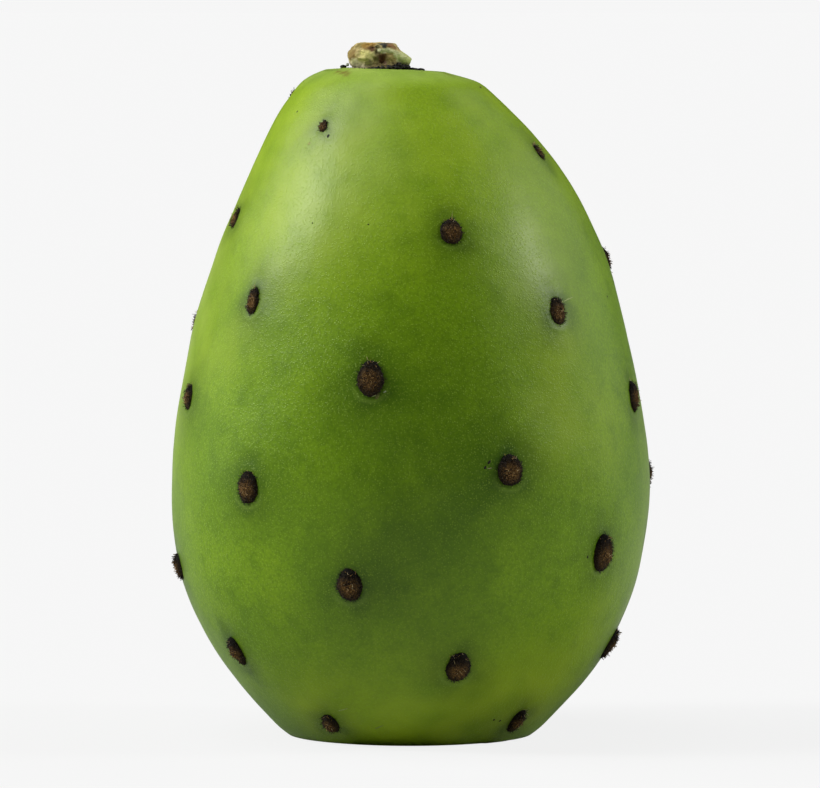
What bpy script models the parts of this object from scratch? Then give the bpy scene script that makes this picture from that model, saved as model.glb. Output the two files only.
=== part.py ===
"""A green prickly pear fruit that stands on its broad floral end, with its dried stem stub.

The fruit is one grown body. It is turned from an egg-shaped outline, leans a little at its narrow
end, and carries its areoles in spiral rows: each is a brown felted cushion on a low swelling.
A shallow scar is left underneath where the flower dropped off. The stub is the dried remnant of
the pad that the fruit grew on, and sits in a socket at the narrow end.

Metres, +Z up, the side in view faces -Y. The origin is on the floor under the fruit's axis.
"""

import math
import random

import bmesh
import bpy
from mathutils import Matrix, Vector, noise

MM = 0.001

# Outline of the body: radius and height in mm, from the rim of the flat top down to the base ring
OUTLINE = (
    (7.2, 79.95),
    (10.6, 78.6),
    (12.6, 76.4),
    (16.2, 71.6),
    (20.4, 64.4),
    (24.3, 54.8),
    (27.3, 42.7),
    (28.7, 30.6),
    (27.6, 20.0),
    (24.7, 12.5),
    (20.9, 6.6),
    (16.6, 1.7),
    (14.6, 0.0),
)
TOP_HEIGHT = 80.0
STEPS_PER_SPAN = 3
TURN_STEPS = 60

# Flat top: radius and height in mm, from the middle, where the socket is cut, over the dried collar
TOP_OUTLINE = (
    (0.0, 80.2),
    (3.5, 80.2),
    (4.1, 80.5),
    (4.9, 80.1),
    (6.0, 80.05),
)

# Floral scar underneath: radius and height in mm, from the inner edge of the base ring to the middle
SCAR_OUTLINE = (
    (12.6, 0.0),
    (11.4, 0.8),
    (8.6, 2.2),
    (4.6, 3.1),
    (0.0, 3.4),
)

# Lean of the narrow end towards -X
LEAN = -3.0
LEAN_START = 62.0
LEAN_CURVE = 1.85

# The flat top is a little lower on the +X side, in mm a mm
TOP_TILT = 0.03
TILT_START = 78.0

# Areoles: one spiral from the narrow end down, numbered from 0 at the stub, in degrees and mm
SPIRAL_START = -51.1
SPIRAL_STEP = -137.95
SPIRAL_TOP = 83.4
SPIRAL_DROP = 2.25
SPIRAL_EASING = 0.0051
FAR_SIDE_AREOLES = (3, 4, 6, 9, 11, 14, 16, 17, 19, 22, 24, 27, 30, 32, 35, 37, 38, 40, 43)
AZIMUTH_WANDER = 4.0
HEIGHT_WANDER = 0.8
AREOLE_SEED = 11

# Areoles in view: azimuth in degrees (0 faces -Y, + towards +X), height, length and width in mm, slant
SEEN_AREOLES = {
    5: (-36.3, 73.3, 1.8, 1.2, 0.0),
    7: (67.5, 70.1, 2.4, 1.5, 0.0),
    8: (-74.0, 62.3, 2.8, 1.8, 0.0),
    10: (12.7, 61.2, 3.3, 2.8, 0.0),
    12: (98.0, 57.0, 3.2, 2.4, 0.0),
    13: (-47.3, 52.9, 3.6, 2.0, 0.0),
    15: (42.7, 51.7, 3.8, 2.6, 0.0),
    18: (-9.7, 44.3, 4.5, 3.2, 0.0),
    20: (73.0, 41.1, 3.9, 2.6, 0.0),
    21: (-71.0, 41.1, 3.3, 2.2, 0.0),
    23: (23.9, 33.6, 3.9, 3.2, 0.0),
    25: (98.5, 31.0, 3.4, 2.8, 0.0),
    26: (-41.0, 31.3, 4.1, 3.1, 0.0),
    28: (53.3, 23.2, 4.7, 3.3, 0.0),
    29: (-81.0, 20.6, 3.4, 2.6, 0.0),
    31: (-14.6, 20.3, 4.1, 3.2, 0.0),
    33: (81.0, 11.3, 4.2, 2.8, 0.0),
    34: (-58.0, 11.3, 4.1, 2.5, 0.0),
    36: (13.8, 10.3, 4.3, 3.1, 0.0),
    39: (-32.0, 2.9, 3.6, 2.3, -14.0),
    41: (45.5, 2.9, 4.2, 2.2, 14.0),
}

# Areoles on the far side: length in mm at the stub and how much it grows down the fruit
SMALLEST_AREOLE = 1.5
AREOLE_GROWTH = 2.5
GROWTH_DEPTH = 38.0
AREOLE_ASPECT = 0.70
LOWEST_AREOLE = 3.0

# Felt cushions: rise and taper as shares of the width, root in mm below the skin
CUSHION_RISE = 0.21
CUSHION_ROOT = 0.35
CUSHION_TAPER = 0.22
CUSHION_CREST = 0.25
CUSHION_SEGMENTS = 10
CUSHION_RINGS = 8

# Low swelling under each areole, in mm, and the heights between which it fades out above the floor
SWELLING_HEIGHT = 0.25
SWELLING_REACH = 3.8
SWELLING_FADE = (0.4, 5.0)

# Stem stub and its socket, in mm
STUB_OFFSET = -3.9
SOCKET_RADIUS = 3.2
SOCKET_FLOOR = 77.6
SOCKET_SEGMENTS = 32
STUB_GAP = 0.3
STUB_OUTLINE = (
    (0.0, 83.2),
    (1.7, 83.3),
    (2.5, 83.0),
    (3.0, 82.4),
    (3.2, 81.8),
    (3.15, 81.3),
    (3.0, 80.8),
    (2.9, 80.3),
)
STUB_STEPS = 32
NECK_BEVEL = 0.4
LUMP_FADE = 0.9

# Lobes and pits of the stub: azimuth in degrees, height in mm, reach in mm, how far out in mm
STUB_LUMPS = (
    (-85.0, 82.2, 1.5, 0.35),
    (75.0, 81.3, 0.8, 0.40),
    (160.0, 82.4, 1.5, 0.45),
    (8.0, 81.4, 0.9, -0.75),
    (-25.0, 82.8, 0.9, -0.45),
    (120.0, 82.6, 0.9, -0.40),
    (-140.0, 81.8, 0.9, -0.45),
)
LUMP_RADIUS = 3.0
STUB_CROWN = 82.4
STUB_ROUGHNESS = 0.18
STUB_GRAIN = 1.1

SKIN_COLOUR = "#5f8d1f"
FELT_COLOUR = "#4a3820"
STUB_COLOUR = "#b3a468"


def smoothstep(low, high, value):
    """Goes from 0 at low to 1 at high, with no corner at either end."""
    t = min(max((value - low) / (high - low), 0.0), 1.0)
    return t * t * (3.0 - 2.0 * t)


def spline(points, steps):
    """Samples a Catmull-Rom curve through the points, with this many steps a span."""
    ends = [points[0]] + list(points) + [points[-1]]
    samples = []
    for i in range(1, len(points)):
        before, start, end, after = (Vector(p) for p in ends[i - 1:i + 3])
        for k in range(steps):
            t = k / steps
            samples.append(0.5 * (
                2.0 * start
                + (end - before) * t
                + (2.0 * before - 5.0 * start + 4.0 * end - after) * t ** 2
                + (3.0 * start - before - 3.0 * end + after) * t ** 3
            ))
    samples.append(Vector(points[-1]))
    return samples


SIDE = spline(OUTLINE, STEPS_PER_SPAN)


def radius_at(height):
    """Gives the body's radius at a height, both in mm, from the sampled outline."""
    for upper, lower in zip(SIDE, SIDE[1:]):
        if upper.y >= height >= lower.y:
            share = (upper.y - height) / (upper.y - lower.y)
            return upper.x + (lower.x - upper.x) * share
    return SIDE[0].x


def lean_at(height):
    """Gives how far the body's middle has moved along X at a height, in mm."""
    rise = min(max((height - LEAN_START) / (TOP_HEIGHT - LEAN_START), 0.0), 1.0)
    return LEAN * rise ** LEAN_CURVE


def tilted(point):
    """Lowers a point of the turned body on its +X side, near the top, and moves it with the lean."""
    tilt = TOP_TILT * smoothstep(TILT_START, TOP_HEIGHT, point.z)
    return Vector((point.x + lean_at(point.z), point.y, point.z - tilt * point.x))


def skin_point(azimuth, height):
    """Gives the point of the smooth skin at an azimuth in radians and a height in mm."""
    radius = radius_at(height)
    return tilted(Vector((radius * math.sin(azimuth), -radius * math.cos(azimuth), height)))


def skin_frame(azimuth, height):
    """Gives a matrix at the skin: X around the fruit, Y up the meridian and Z outwards."""
    step = 0.4
    up = skin_point(azimuth, height + step) - skin_point(azimuth, height - step)
    up.normalize()
    around = Vector((math.cos(azimuth), math.sin(azimuth), 0.0))
    outward = around.cross(up).normalized()
    frame = Matrix((around, up, outward)).transposed().to_4x4()
    frame.translation = skin_point(azimuth, height)
    return frame


def areole_list():
    """Lists each areole's frame at the skin with its length and width, from the top down."""
    dice = random.Random(AREOLE_SEED)
    areoles = []
    for number in sorted(set(SEEN_AREOLES) | set(FAR_SIDE_AREOLES)):
        if number in SEEN_AREOLES:
            azimuth, height, length, width, slant = SEEN_AREOLES[number]
        else:
            azimuth = SPIRAL_START + SPIRAL_STEP * number + dice.uniform(-AZIMUTH_WANDER, AZIMUTH_WANDER)
            height = SPIRAL_TOP - SPIRAL_DROP * number + SPIRAL_EASING * number ** 2
            height = max(height + dice.uniform(-HEIGHT_WANDER, HEIGHT_WANDER), LOWEST_AREOLE)
            length = SMALLEST_AREOLE + AREOLE_GROWTH * smoothstep(0.0, GROWTH_DEPTH, TOP_HEIGHT - height)
            width = AREOLE_ASPECT * length
            slant = 0.0
        frame = skin_frame(math.radians(azimuth), height)
        frame = frame @ Matrix.Rotation(math.radians(slant), 4, "Z")
        areoles.append((frame, length, width))
    return areoles


def swelling(point, areoles):
    """Gives how far the skin stands out at a point of the smooth body, in mm."""
    rise = 0.0
    for frame, _, _ in areoles:
        distance = (point - frame.translation).length
        rise += SWELLING_HEIGHT * math.exp(-0.5 * (distance / SWELLING_REACH) ** 2)
    return rise * smoothstep(*SWELLING_FADE, point.z)


def linear_colour(code):
    """Turns a #rrggbb colour into linear values with alpha."""
    channels = [int(code[i:i + 2], 16) / 255 for i in (1, 3, 5)]
    linear = [c / 12.92 if c <= 0.04045 else ((c + 0.055) / 1.055) ** 2.4 for c in channels]
    return (*linear, 1.0)


def make_material(name, colour, roughness):
    """Makes a plain non-metal material."""
    material = bpy.data.materials.new(name)
    material.use_nodes = True
    shader = material.node_tree.nodes["Principled BSDF"]
    shader.inputs["Base Color"].default_value = linear_colour(colour)
    shader.inputs["Roughness"].default_value = roughness
    shader.inputs["Metallic"].default_value = 0.0
    material.diffuse_color = linear_colour(colour)
    return material


def add_object(name, mesh, collection, material):
    """Links a new object with this mesh and material to a collection."""
    thing = bpy.data.objects.new(name, mesh)
    collection.objects.link(thing)
    mesh.materials.append(material)
    return thing


def applied(thing):
    """Replaces an object's mesh by the one that its modifiers give, and removes them."""
    bpy.context.view_layer.update()
    evaluated = thing.evaluated_get(bpy.context.evaluated_depsgraph_get())
    mesh = bpy.data.meshes.new_from_object(evaluated)
    thing.modifiers.clear()
    old = thing.data
    mesh.name = thing.name
    thing.data = mesh
    bpy.data.meshes.remove(old)


def turned(name, outline, steps, collection, material):
    """Turns an outline of radius and height in mm, listed from the top down the outside."""
    mesh = bpy.data.meshes.new(name)
    vertices = [(radius * MM, 0.0, height * MM) for radius, height in outline]
    edges = [(i, i + 1) for i in range(len(vertices) - 1)]
    mesh.from_pydata(vertices, edges, [])
    thing = add_object(name, mesh, collection, material)
    screw = thing.modifiers.new("Turn", "SCREW")
    screw.axis = "Z"
    screw.angle = math.tau
    screw.steps = steps
    screw.render_steps = steps
    screw.use_merge_vertices = True
    screw.merge_threshold = 0.00001
    applied(thing)
    return thing


def make_body(collection, areoles, material):
    """Makes the fruit's body: turned, leaned at its narrow end and swollen under each areole."""
    outline = [*TOP_OUTLINE, *(tuple(p) for p in SIDE), *SCAR_OUTLINE]
    body = turned("fruit", outline, TURN_STEPS, collection, material)
    rises = []
    for vertex in body.data.vertices:
        place = vertex.co / MM
        on_side = math.hypot(place.x, place.y) > SIDE[0].x - 0.01 and 0.01 < place.z < TOP_HEIGHT
        vertex.co = tilted(place) * MM
        rises.append(swelling(vertex.co / MM, areoles) if on_side else 0.0)
    normals = [Vector(normal.vector) for normal in body.data.vertex_normals]
    for vertex, normal, rise in zip(body.data.vertices, normals, rises):
        vertex.co += normal * rise * MM
    return body


def make_cushion(number, frame, length, width, rise, collection, material):
    """Makes one areole's cushion: an oval dome, narrower and higher at its upper end, rooted in skin."""
    height = CUSHION_RISE * width
    mesh = bpy.data.meshes.new(f"areole_{number:02d}")
    form = bmesh.new()
    bmesh.ops.create_uvsphere(form, u_segments=CUSHION_SEGMENTS, v_segments=CUSHION_RINGS, radius=1.0)
    for vertex in form.verts:
        x, y, z = vertex.co
        local = Vector((
            x * (1.0 - CUSHION_TAPER * y) * width / 2,
            y * length / 2,
            z * (height * (1.0 + CUSHION_CREST * y) + CUSHION_ROOT) - CUSHION_ROOT + rise,
        ))
        vertex.co = (frame @ local) * MM
    form.to_mesh(mesh)
    form.free()
    return add_object(mesh.name, mesh, collection, material)


def fuse_cushions(body, areoles, material):
    """Joins every areole's cushion to the body by one union."""
    cushions = bpy.data.collections.new("areole_cushions")
    bpy.context.scene.collection.children.link(cushions)
    for number, (frame, length, width) in enumerate(areoles):
        rise = swelling(frame.translation, areoles)
        make_cushion(number, frame, length, width, rise, cushions, material)
    union = body.modifiers.new("Grow areoles", "BOOLEAN")
    union.operation = "UNION"
    union.operand_type = "COLLECTION"
    union.collection = cushions
    union.material_mode = "TRANSFER"
    applied(body)
    for cushion in list(cushions.objects):
        mesh = cushion.data
        bpy.data.objects.remove(cushion)
        bpy.data.meshes.remove(mesh)
    bpy.data.collections.remove(cushions)


def cut_socket(body, cutters):
    """Cuts the round socket in which the stem stub sits."""
    mesh = bpy.data.meshes.new("stub_socket_cutter")
    depth = 2.0 * (TOP_HEIGHT - SOCKET_FLOOR)
    form = bmesh.new()
    bmesh.ops.create_cone(
        form,
        cap_ends=True,
        segments=SOCKET_SEGMENTS,
        radius1=SOCKET_RADIUS * MM,
        radius2=SOCKET_RADIUS * MM,
        depth=depth * MM,
    )
    form.to_mesh(mesh)
    form.free()
    cutter = bpy.data.objects.new(mesh.name, mesh)
    cutters.objects.link(cutter)
    cutter.location = (STUB_OFFSET * MM, 0.0, (SOCKET_FLOOR + depth / 2) * MM)
    cutter.hide_render = True
    cutter.display_type = "WIRE"
    cut = body.modifiers.new("Stub socket", "BOOLEAN")
    cut.operation = "DIFFERENCE"
    cut.object = cutter


def make_stub(collection, material):
    """Makes the dried stub: a corky knob with lobes and pits on a neck that fills the socket."""
    neck_radius = SOCKET_RADIUS - STUB_GAP
    neck_foot = SOCKET_FLOOR + STUB_GAP
    outline = [tuple(p) for p in spline(STUB_OUTLINE, 2)]
    outline.append((neck_radius, neck_foot + NECK_BEVEL))
    outline.append((neck_radius - NECK_BEVEL, neck_foot))
    outline.append((0.0, neck_foot))
    stub = turned("stem_stub", outline, STUB_STEPS, collection, material)
    neck_top = STUB_OUTLINE[-1][1]
    for vertex in stub.data.vertices:
        place = vertex.co / MM
        outward = Vector((place.x, place.y, 1.5 * max(place.z - STUB_CROWN, 0.0))).normalized()
        push = STUB_ROUGHNESS * noise.noise(place * STUB_GRAIN)
        for azimuth, height, reach, amount in STUB_LUMPS:
            angle = math.radians(azimuth)
            centre = Vector((LUMP_RADIUS * math.sin(angle), -LUMP_RADIUS * math.cos(angle), height))
            push += amount * math.exp(-0.5 * ((place - centre).length / reach) ** 2)
        push *= smoothstep(neck_top, neck_top + LUMP_FADE, place.z)
        vertex.co += outward * push * MM
    stub.location.x = STUB_OFFSET * MM
    return stub


def main():
    """Clears the scene and builds the fruit and its stub."""
    for thing in list(bpy.data.objects):
        bpy.data.objects.remove(thing)
    parts = bpy.data.collections.new("prickly_pear_fruit")
    cutters = bpy.data.collections.new("cutters")
    bpy.context.scene.collection.children.link(parts)
    bpy.context.scene.collection.children.link(cutters)

    skin = make_material("green waxy skin", SKIN_COLOUR, 0.38)
    felt = make_material("brown areole felt", FELT_COLOUR, 0.95)
    cork = make_material("dried corky stem", STUB_COLOUR, 0.85)

    areoles = areole_list()
    body = make_body(parts, areoles, skin)
    fuse_cushions(body, areoles, felt)
    cut_socket(body, cutters)
    stub = make_stub(parts, cork)
    for thing in (body, stub):
        thing.data.shade_smooth()
        thing.data.set_sharp_from_angle(angle=math.radians(40.0))


main()
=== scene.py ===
# %% [markdown]
# # A green prickly pear fruit
#
# The real thing is the fleshy fruit of a cactus, about 80 mm tall, which stands here on its broad end.
# Its waxy green skin carries small brown felted cushions, called areoles, in spiral rows. On top is the
# corky stub that held the fruit to its pad.
#
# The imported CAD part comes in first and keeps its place. Finer meshes in the same frame then stand in
# for its plain solids, with the same outline, the same areoles and the same stub.

import math
import random

import bmesh
import bpy
import numpy as np
from mathutils import Matrix, Vector, noise


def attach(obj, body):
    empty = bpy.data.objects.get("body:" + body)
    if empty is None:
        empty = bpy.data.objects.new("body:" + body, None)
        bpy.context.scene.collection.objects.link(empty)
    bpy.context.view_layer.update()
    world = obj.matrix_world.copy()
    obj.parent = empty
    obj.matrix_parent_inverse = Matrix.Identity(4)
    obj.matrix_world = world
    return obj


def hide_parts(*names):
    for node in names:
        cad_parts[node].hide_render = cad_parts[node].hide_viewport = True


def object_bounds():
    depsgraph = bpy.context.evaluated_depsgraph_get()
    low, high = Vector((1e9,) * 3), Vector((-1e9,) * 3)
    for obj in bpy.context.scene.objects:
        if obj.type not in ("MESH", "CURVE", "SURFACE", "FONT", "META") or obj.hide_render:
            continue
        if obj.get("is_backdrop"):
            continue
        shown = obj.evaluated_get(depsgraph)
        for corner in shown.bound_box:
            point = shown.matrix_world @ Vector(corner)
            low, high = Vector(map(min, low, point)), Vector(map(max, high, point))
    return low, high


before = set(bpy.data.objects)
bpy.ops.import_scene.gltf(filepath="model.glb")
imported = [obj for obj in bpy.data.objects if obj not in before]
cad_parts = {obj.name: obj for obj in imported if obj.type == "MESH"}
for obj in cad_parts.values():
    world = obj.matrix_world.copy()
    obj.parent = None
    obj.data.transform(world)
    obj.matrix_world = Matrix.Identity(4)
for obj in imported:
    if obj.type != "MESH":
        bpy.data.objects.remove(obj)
cad_low, cad_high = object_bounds()
MM = 0.001
cad_size = [round((high - low) / MM, 2) for low, high in zip(cad_low, cad_high)]
print("nodes of the packed part:", sorted(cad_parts), "size in mm:", cad_size)

# %% [markdown]
# ## Two small tools for node trees
#
# Materials and Geometry Nodes trees are both made of nodes. One function that adds a node, sets its
# options and links its inputs keeps every later cell readable: a tree is then a list of plain steps.
# Colours are written as the sRGB hex codes of a colour picker, but nodes reckon in linear light, so one
# more function turns a code into linear values.

# %% Nodes and colours
def add_node(tree, kind, inputs=None, **settings):
    """Adds a node to a tree, sets its options, and sets or links its inputs.

    A value that is itself a node stands for that node's first output.
    """
    node = tree.nodes.new(kind)
    for name, value in settings.items():
        setattr(node, name, value)
    for key, value in (inputs or {}).items():
        if isinstance(value, bpy.types.Node):
            value = value.outputs[0]
        if isinstance(value, bpy.types.NodeSocket):
            tree.links.new(value, node.inputs[key])
        else:
            node.inputs[key].default_value = value
    return node


def linear_colour(code):
    """Turns a #rrggbb colour into linear red, green and blue with alpha, by the sRGB standard's curve."""
    channels = [int(code[i:i + 2], 16) / 255 for i in (1, 3, 5)]
    linear = [c / 12.92 if c <= 0.04045 else ((c + 0.055) / 1.055) ** 2.4 for c in channels]
    return (*linear, 1.0)


print("leaf green in linear light:", [round(c, 3) for c in linear_colour("#5f8d1f")])

# %% [markdown]
# ## The outline
#
# A fruit like this is nearly round when it is seen from above, so one outline, turned about the upright
# axis, gives its whole body. The same points as in the CAD source are used: radius and height in mm. Only
# the dried collar is 0.4 mm lower here. The curve through the points is sampled more finely. The outline
# runs from the floor of the socket under the stub, over the dried collar and the shoulder, down the side,
# and under the base to the middle of the scar where the flower dropped off.

# %% Outline points
SIDE_OUTLINE = (
    (7.2, 79.95), (10.6, 78.6), (12.6, 76.4), (16.2, 71.6), (20.4, 64.4), (24.3, 54.8), (27.3, 42.7),
    (28.7, 30.6), (27.6, 20.0), (24.7, 12.5), (20.9, 6.6), (16.6, 1.7), (14.6, 0.0),
)
SOCKET_OUTLINE = ((0.0, 77.6), (2.9, 77.6), (3.2, 77.9), (3.25, 79.6))
COLLAR_OUTLINE = ((3.4, 79.9), (3.7, 80.06), (4.1, 80.12), (4.5, 80.1), (4.9, 80.06), (6.0, 80.02))
SCAR_OUTLINE = ((12.6, 0.0), (11.4, 0.8), (8.6, 2.2), (4.6, 3.1), (0.0, 3.4))
TOP_HEIGHT = 80.0
SIDE_STEPS = 24
SCAR_STEPS = 6


def spline(points, steps):
    """Samples a Catmull-Rom curve through the points, with this many steps a span."""
    ends = [points[0], *points, points[-1]]
    samples = []
    for i in range(1, len(points)):
        before, start, end, after = (Vector(p) for p in ends[i - 1:i + 3])
        for k in range(steps):
            t = k / steps
            samples.append(0.5 * (
                2.0 * start
                + (end - before) * t
                + (2.0 * before - 5.0 * start + 4.0 * end - after) * t ** 2
                + (3.0 * start - before - 3.0 * end + after) * t ** 3
            ))
    samples.append(Vector(points[-1]))
    return samples


side = np.array(spline(SIDE_OUTLINE, SIDE_STEPS))
outline = np.vstack([SOCKET_OUTLINE, COLLAR_OUTLINE, side, spline(SCAR_OUTLINE, SCAR_STEPS)])
walked = np.concatenate([[0.0], np.cumsum(np.linalg.norm(np.diff(outline, axis=0), axis=1))])
outline_length = walked[-1]
print(f"the outline is {outline_length:.1f} mm long in {len(outline)} points")

# %% [markdown]
# ## Where the skin is
#
# Three bends take the turned body to the real one. The narrow end leans a little to the left, the flat
# top is a little lower on the right, and the socket of the stub is a little off the middle of the top.
# Every later piece asks these functions where the skin is, so nothing has to be fitted by eye.

# %% Bends of the narrow end
LEAN = -3.0
LEAN_START = 62.0
LEAN_CURVE = 1.85
TOP_TILT = 0.03
TILT_START = 78.0
TOP_MARGIN = 1.0
STUB_OFFSET = -3.9
SOCKET_EDGE = 3.2
FLAT_TOP_EDGE = 7.2


def ramp(low, high, value):
    """Goes smoothly from 0 at low to 1 at high, for one value or an array."""
    t = np.clip((value - low) / (high - low), 0.0, 1.0)
    return t * t * (3.0 - 2.0 * t)


def bent(places, radii=None):
    """Leans and tilts points of the turned body, given as an array of x, y and z in mm."""
    x, y, z = places.T
    rise = np.clip((z - LEAN_START) / (TOP_HEIGHT - LEAN_START), 0.0, None)
    lean = LEAN * rise ** LEAN_CURVE
    if radii is not None:
        on_top = z > TILT_START - TOP_MARGIN
        shift = STUB_OFFSET - LEAN
        lean = np.where(on_top & (radii < FLAT_TOP_EDGE),
                        LEAN + shift * ramp(FLAT_TOP_EDGE, SOCKET_EDGE, radii), lean)
    tilt = TOP_TILT * ramp(TILT_START, TOP_HEIGHT, z)
    return np.stack([x + lean, y, z - tilt * x], axis=1)


def skin_point(azimuth, height):
    """Gives the point of the smooth skin at an azimuth in radians and a height in mm."""
    radius = np.interp(height, side[::-1, 1], side[::-1, 0])
    place = np.array([[radius * math.sin(azimuth), -radius * math.cos(azimuth), height]])
    return bent(place)[0]


def skin_frame(azimuth, height):
    """Gives three unit rows at the skin: around the fruit, up the meridian and outwards."""
    step = 0.4
    up = skin_point(azimuth, height + step) - skin_point(azimuth, height - step)
    up /= np.linalg.norm(up)
    around = np.array([math.cos(azimuth), math.sin(azimuth), 0.0])
    outward = np.cross(around, up)
    return np.stack([around, up, outward / np.linalg.norm(outward)])


print("the skin facing the camera at 40 mm is at", skin_point(0.0, 40.0).round(2), "mm")

# %% [markdown]
# ## The areoles' places
#
# Areoles grow one after another round the tip of the shoot, each about 138 degrees on from the last, and
# that is why they stand in spiral rows. The ones that the camera sees are placed one by one. The far side
# carries on the same spiral with a little wander, as no plant is that regular.

# %% The spiral
SPIRAL_START = -51.1
SPIRAL_STEP = -137.95
SPIRAL_TOP = 83.4
SPIRAL_DROP = 2.25
SPIRAL_EASING = 0.0051
FAR_SIDE_AREOLES = (3, 4, 6, 9, 11, 14, 16, 17, 19, 22, 24, 27, 30, 32, 35, 37, 38, 40, 43)
AZIMUTH_WANDER = 4.0
HEIGHT_WANDER = 0.8
AREOLE_SEED = 11
LOWEST_AREOLE = 3.0
# Areoles of the far side: least length, what it gains on the way down, and the way down that gives it all
LEAST_LENGTH = 1.5
LENGTH_GAIN = 2.5
GAIN_DROP = 38.0
WIDTH_TO_LENGTH = 0.70

# Areoles in view: azimuth in degrees (0 faces -Y, + towards +X), height, length and width in mm, slant
SEEN_AREOLES = {
    5: (-36.3, 73.3, 1.8, 1.2, 0.0),
    7: (67.5, 70.1, 2.4, 1.5, 0.0),
    8: (-74.0, 62.3, 2.8, 1.8, 0.0),
    10: (12.7, 61.2, 3.3, 2.8, 0.0),
    12: (98.0, 57.0, 3.2, 2.4, 0.0),
    13: (-47.3, 52.9, 3.6, 2.0, 0.0),
    15: (42.7, 51.7, 3.8, 2.6, 0.0),
    18: (-9.7, 44.3, 4.5, 3.2, 0.0),
    20: (73.0, 41.1, 3.9, 2.6, 0.0),
    21: (-71.0, 41.1, 3.3, 2.2, 0.0),
    23: (23.9, 33.6, 3.9, 3.2, 0.0),
    25: (98.5, 31.0, 3.4, 2.8, 0.0),
    26: (-41.0, 31.3, 4.1, 3.1, 0.0),
    28: (53.3, 23.2, 4.7, 3.3, 0.0),
    29: (-81.0, 20.6, 3.4, 2.6, 0.0),
    31: (-14.6, 20.3, 4.1, 3.2, 0.0),
    33: (81.0, 11.3, 4.2, 2.8, 0.0),
    34: (-58.0, 11.3, 4.1, 2.5, 0.0),
    36: (13.8, 10.3, 4.3, 3.1, 0.0),
    39: (-32.0, 2.9, 3.6, 2.3, -14.0),
    41: (45.5, 2.9, 4.2, 2.2, 14.0),
}

dice = random.Random(AREOLE_SEED)
areoles = []
for number in sorted({*SEEN_AREOLES, *FAR_SIDE_AREOLES}):
    if number in SEEN_AREOLES:
        azimuth, height, length, width, slant = SEEN_AREOLES[number]
    else:
        azimuth = SPIRAL_START + SPIRAL_STEP * number + dice.uniform(-AZIMUTH_WANDER, AZIMUTH_WANDER)
        height = SPIRAL_TOP - SPIRAL_DROP * number + SPIRAL_EASING * number ** 2
        height = max(height + dice.uniform(-HEIGHT_WANDER, HEIGHT_WANDER), LOWEST_AREOLE)
        length = LEAST_LENGTH + LENGTH_GAIN * float(ramp(0.0, GAIN_DROP, TOP_HEIGHT - height))
        width = WIDTH_TO_LENGTH * length
        slant = 0.0
    around, up, outward = skin_frame(math.radians(azimuth), height)
    turn = math.radians(slant)
    areoles.append({
        "number": number,
        "centre": skin_point(math.radians(azimuth), height),
        "across": math.cos(turn) * around + math.sin(turn) * up,
        "along": math.cos(turn) * up - math.sin(turn) * around,
        "outward": outward,
        "length": length,
        "width": width,
    })
areole_centres = np.array([areole["centre"] for areole in areoles])
print(len(areoles), "areoles, the lowest at", round(float(areole_centres[:, 2].min()), 1), "mm")

# %% [markdown]
# ## Geometry Nodes helpers
#
# A Geometry Nodes tree is a small program that lives on a modifier. Its named inputs hold the sizes, so a
# reader can change a number and see the piece follow. Three helpers start a tree, end it, and run it. The
# result becomes a plain mesh, because an exported model keeps meshes and drops instances. Two more hold
# steps that more than one tree takes: putting a shape on each point, and roughening the result.

# %% Starting, ending and running a tree
def start_tree(name, sizes):
    """Starts a geometry tree with named inputs and returns it with the outputs of its input node."""
    tree = bpy.data.node_groups.new(name, "GeometryNodeTree")
    tree.interface.new_socket("Geometry", in_out="INPUT", socket_type="NodeSocketGeometry")
    for size_name, kind in sizes.items():
        tree.interface.new_socket(size_name, in_out="INPUT", socket_type=f"NodeSocket{kind}")
    tree.interface.new_socket("Material", in_out="INPUT", socket_type="NodeSocketMaterial")
    tree.interface.new_socket("Geometry", in_out="OUTPUT", socket_type="NodeSocketGeometry")
    return tree, tree.nodes.new("NodeGroupInput").outputs


def end_tree(tree, geometry, given):
    """Ends a tree with real geometry, smooth faces and its material."""
    smooth = add_node(tree, "GeometryNodeSetShadeSmooth", {"Geometry": geometry})
    real = add_node(tree, "GeometryNodeRealizeInstances", {"Geometry": smooth})
    painted = add_node(tree, "GeometryNodeSetMaterial", {"Geometry": real, "Material": given["Material"]})
    add_node(tree, "NodeGroupOutput", {"Geometry": painted})


def add_object(name, data):
    """Makes an object at the origin and links it to the scene."""
    thing = bpy.data.objects.new(name, data)
    bpy.context.scene.collection.objects.link(thing)
    return thing


def run_tree(name, mesh, tree, values):
    """Runs a tree on a mesh with these input values and returns the result as a plain object."""
    thing = add_object(name, mesh)
    modifier = thing.modifiers.new(tree.name, "NODES")
    modifier.node_group = tree
    for socket in tree.interface.items_tree:
        if socket.in_out == "INPUT" and socket.name in values:
            modifier[socket.identifier] = values[socket.name]
    bpy.context.view_layer.update()
    evaluated = thing.evaluated_get(bpy.context.evaluated_depsgraph_get())
    thing.data = bpy.data.meshes.new_from_object(evaluated)
    thing.data.name = name
    thing.modifiers.clear()
    return thing


def blank_mesh(name, vertices, edges=(), faces=()):
    """Makes a mesh from points in mm."""
    mesh = bpy.data.meshes.new(name)
    mesh.from_pydata([Vector(v) * MM for v in vertices], edges, faces)
    return mesh


def triangles(thing):
    """Counts the triangles of an object's mesh."""
    return sum(len(face.vertices) - 2 for face in thing.data.polygons)


print("helpers ready in Blender", bpy.app.version_string)

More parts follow.
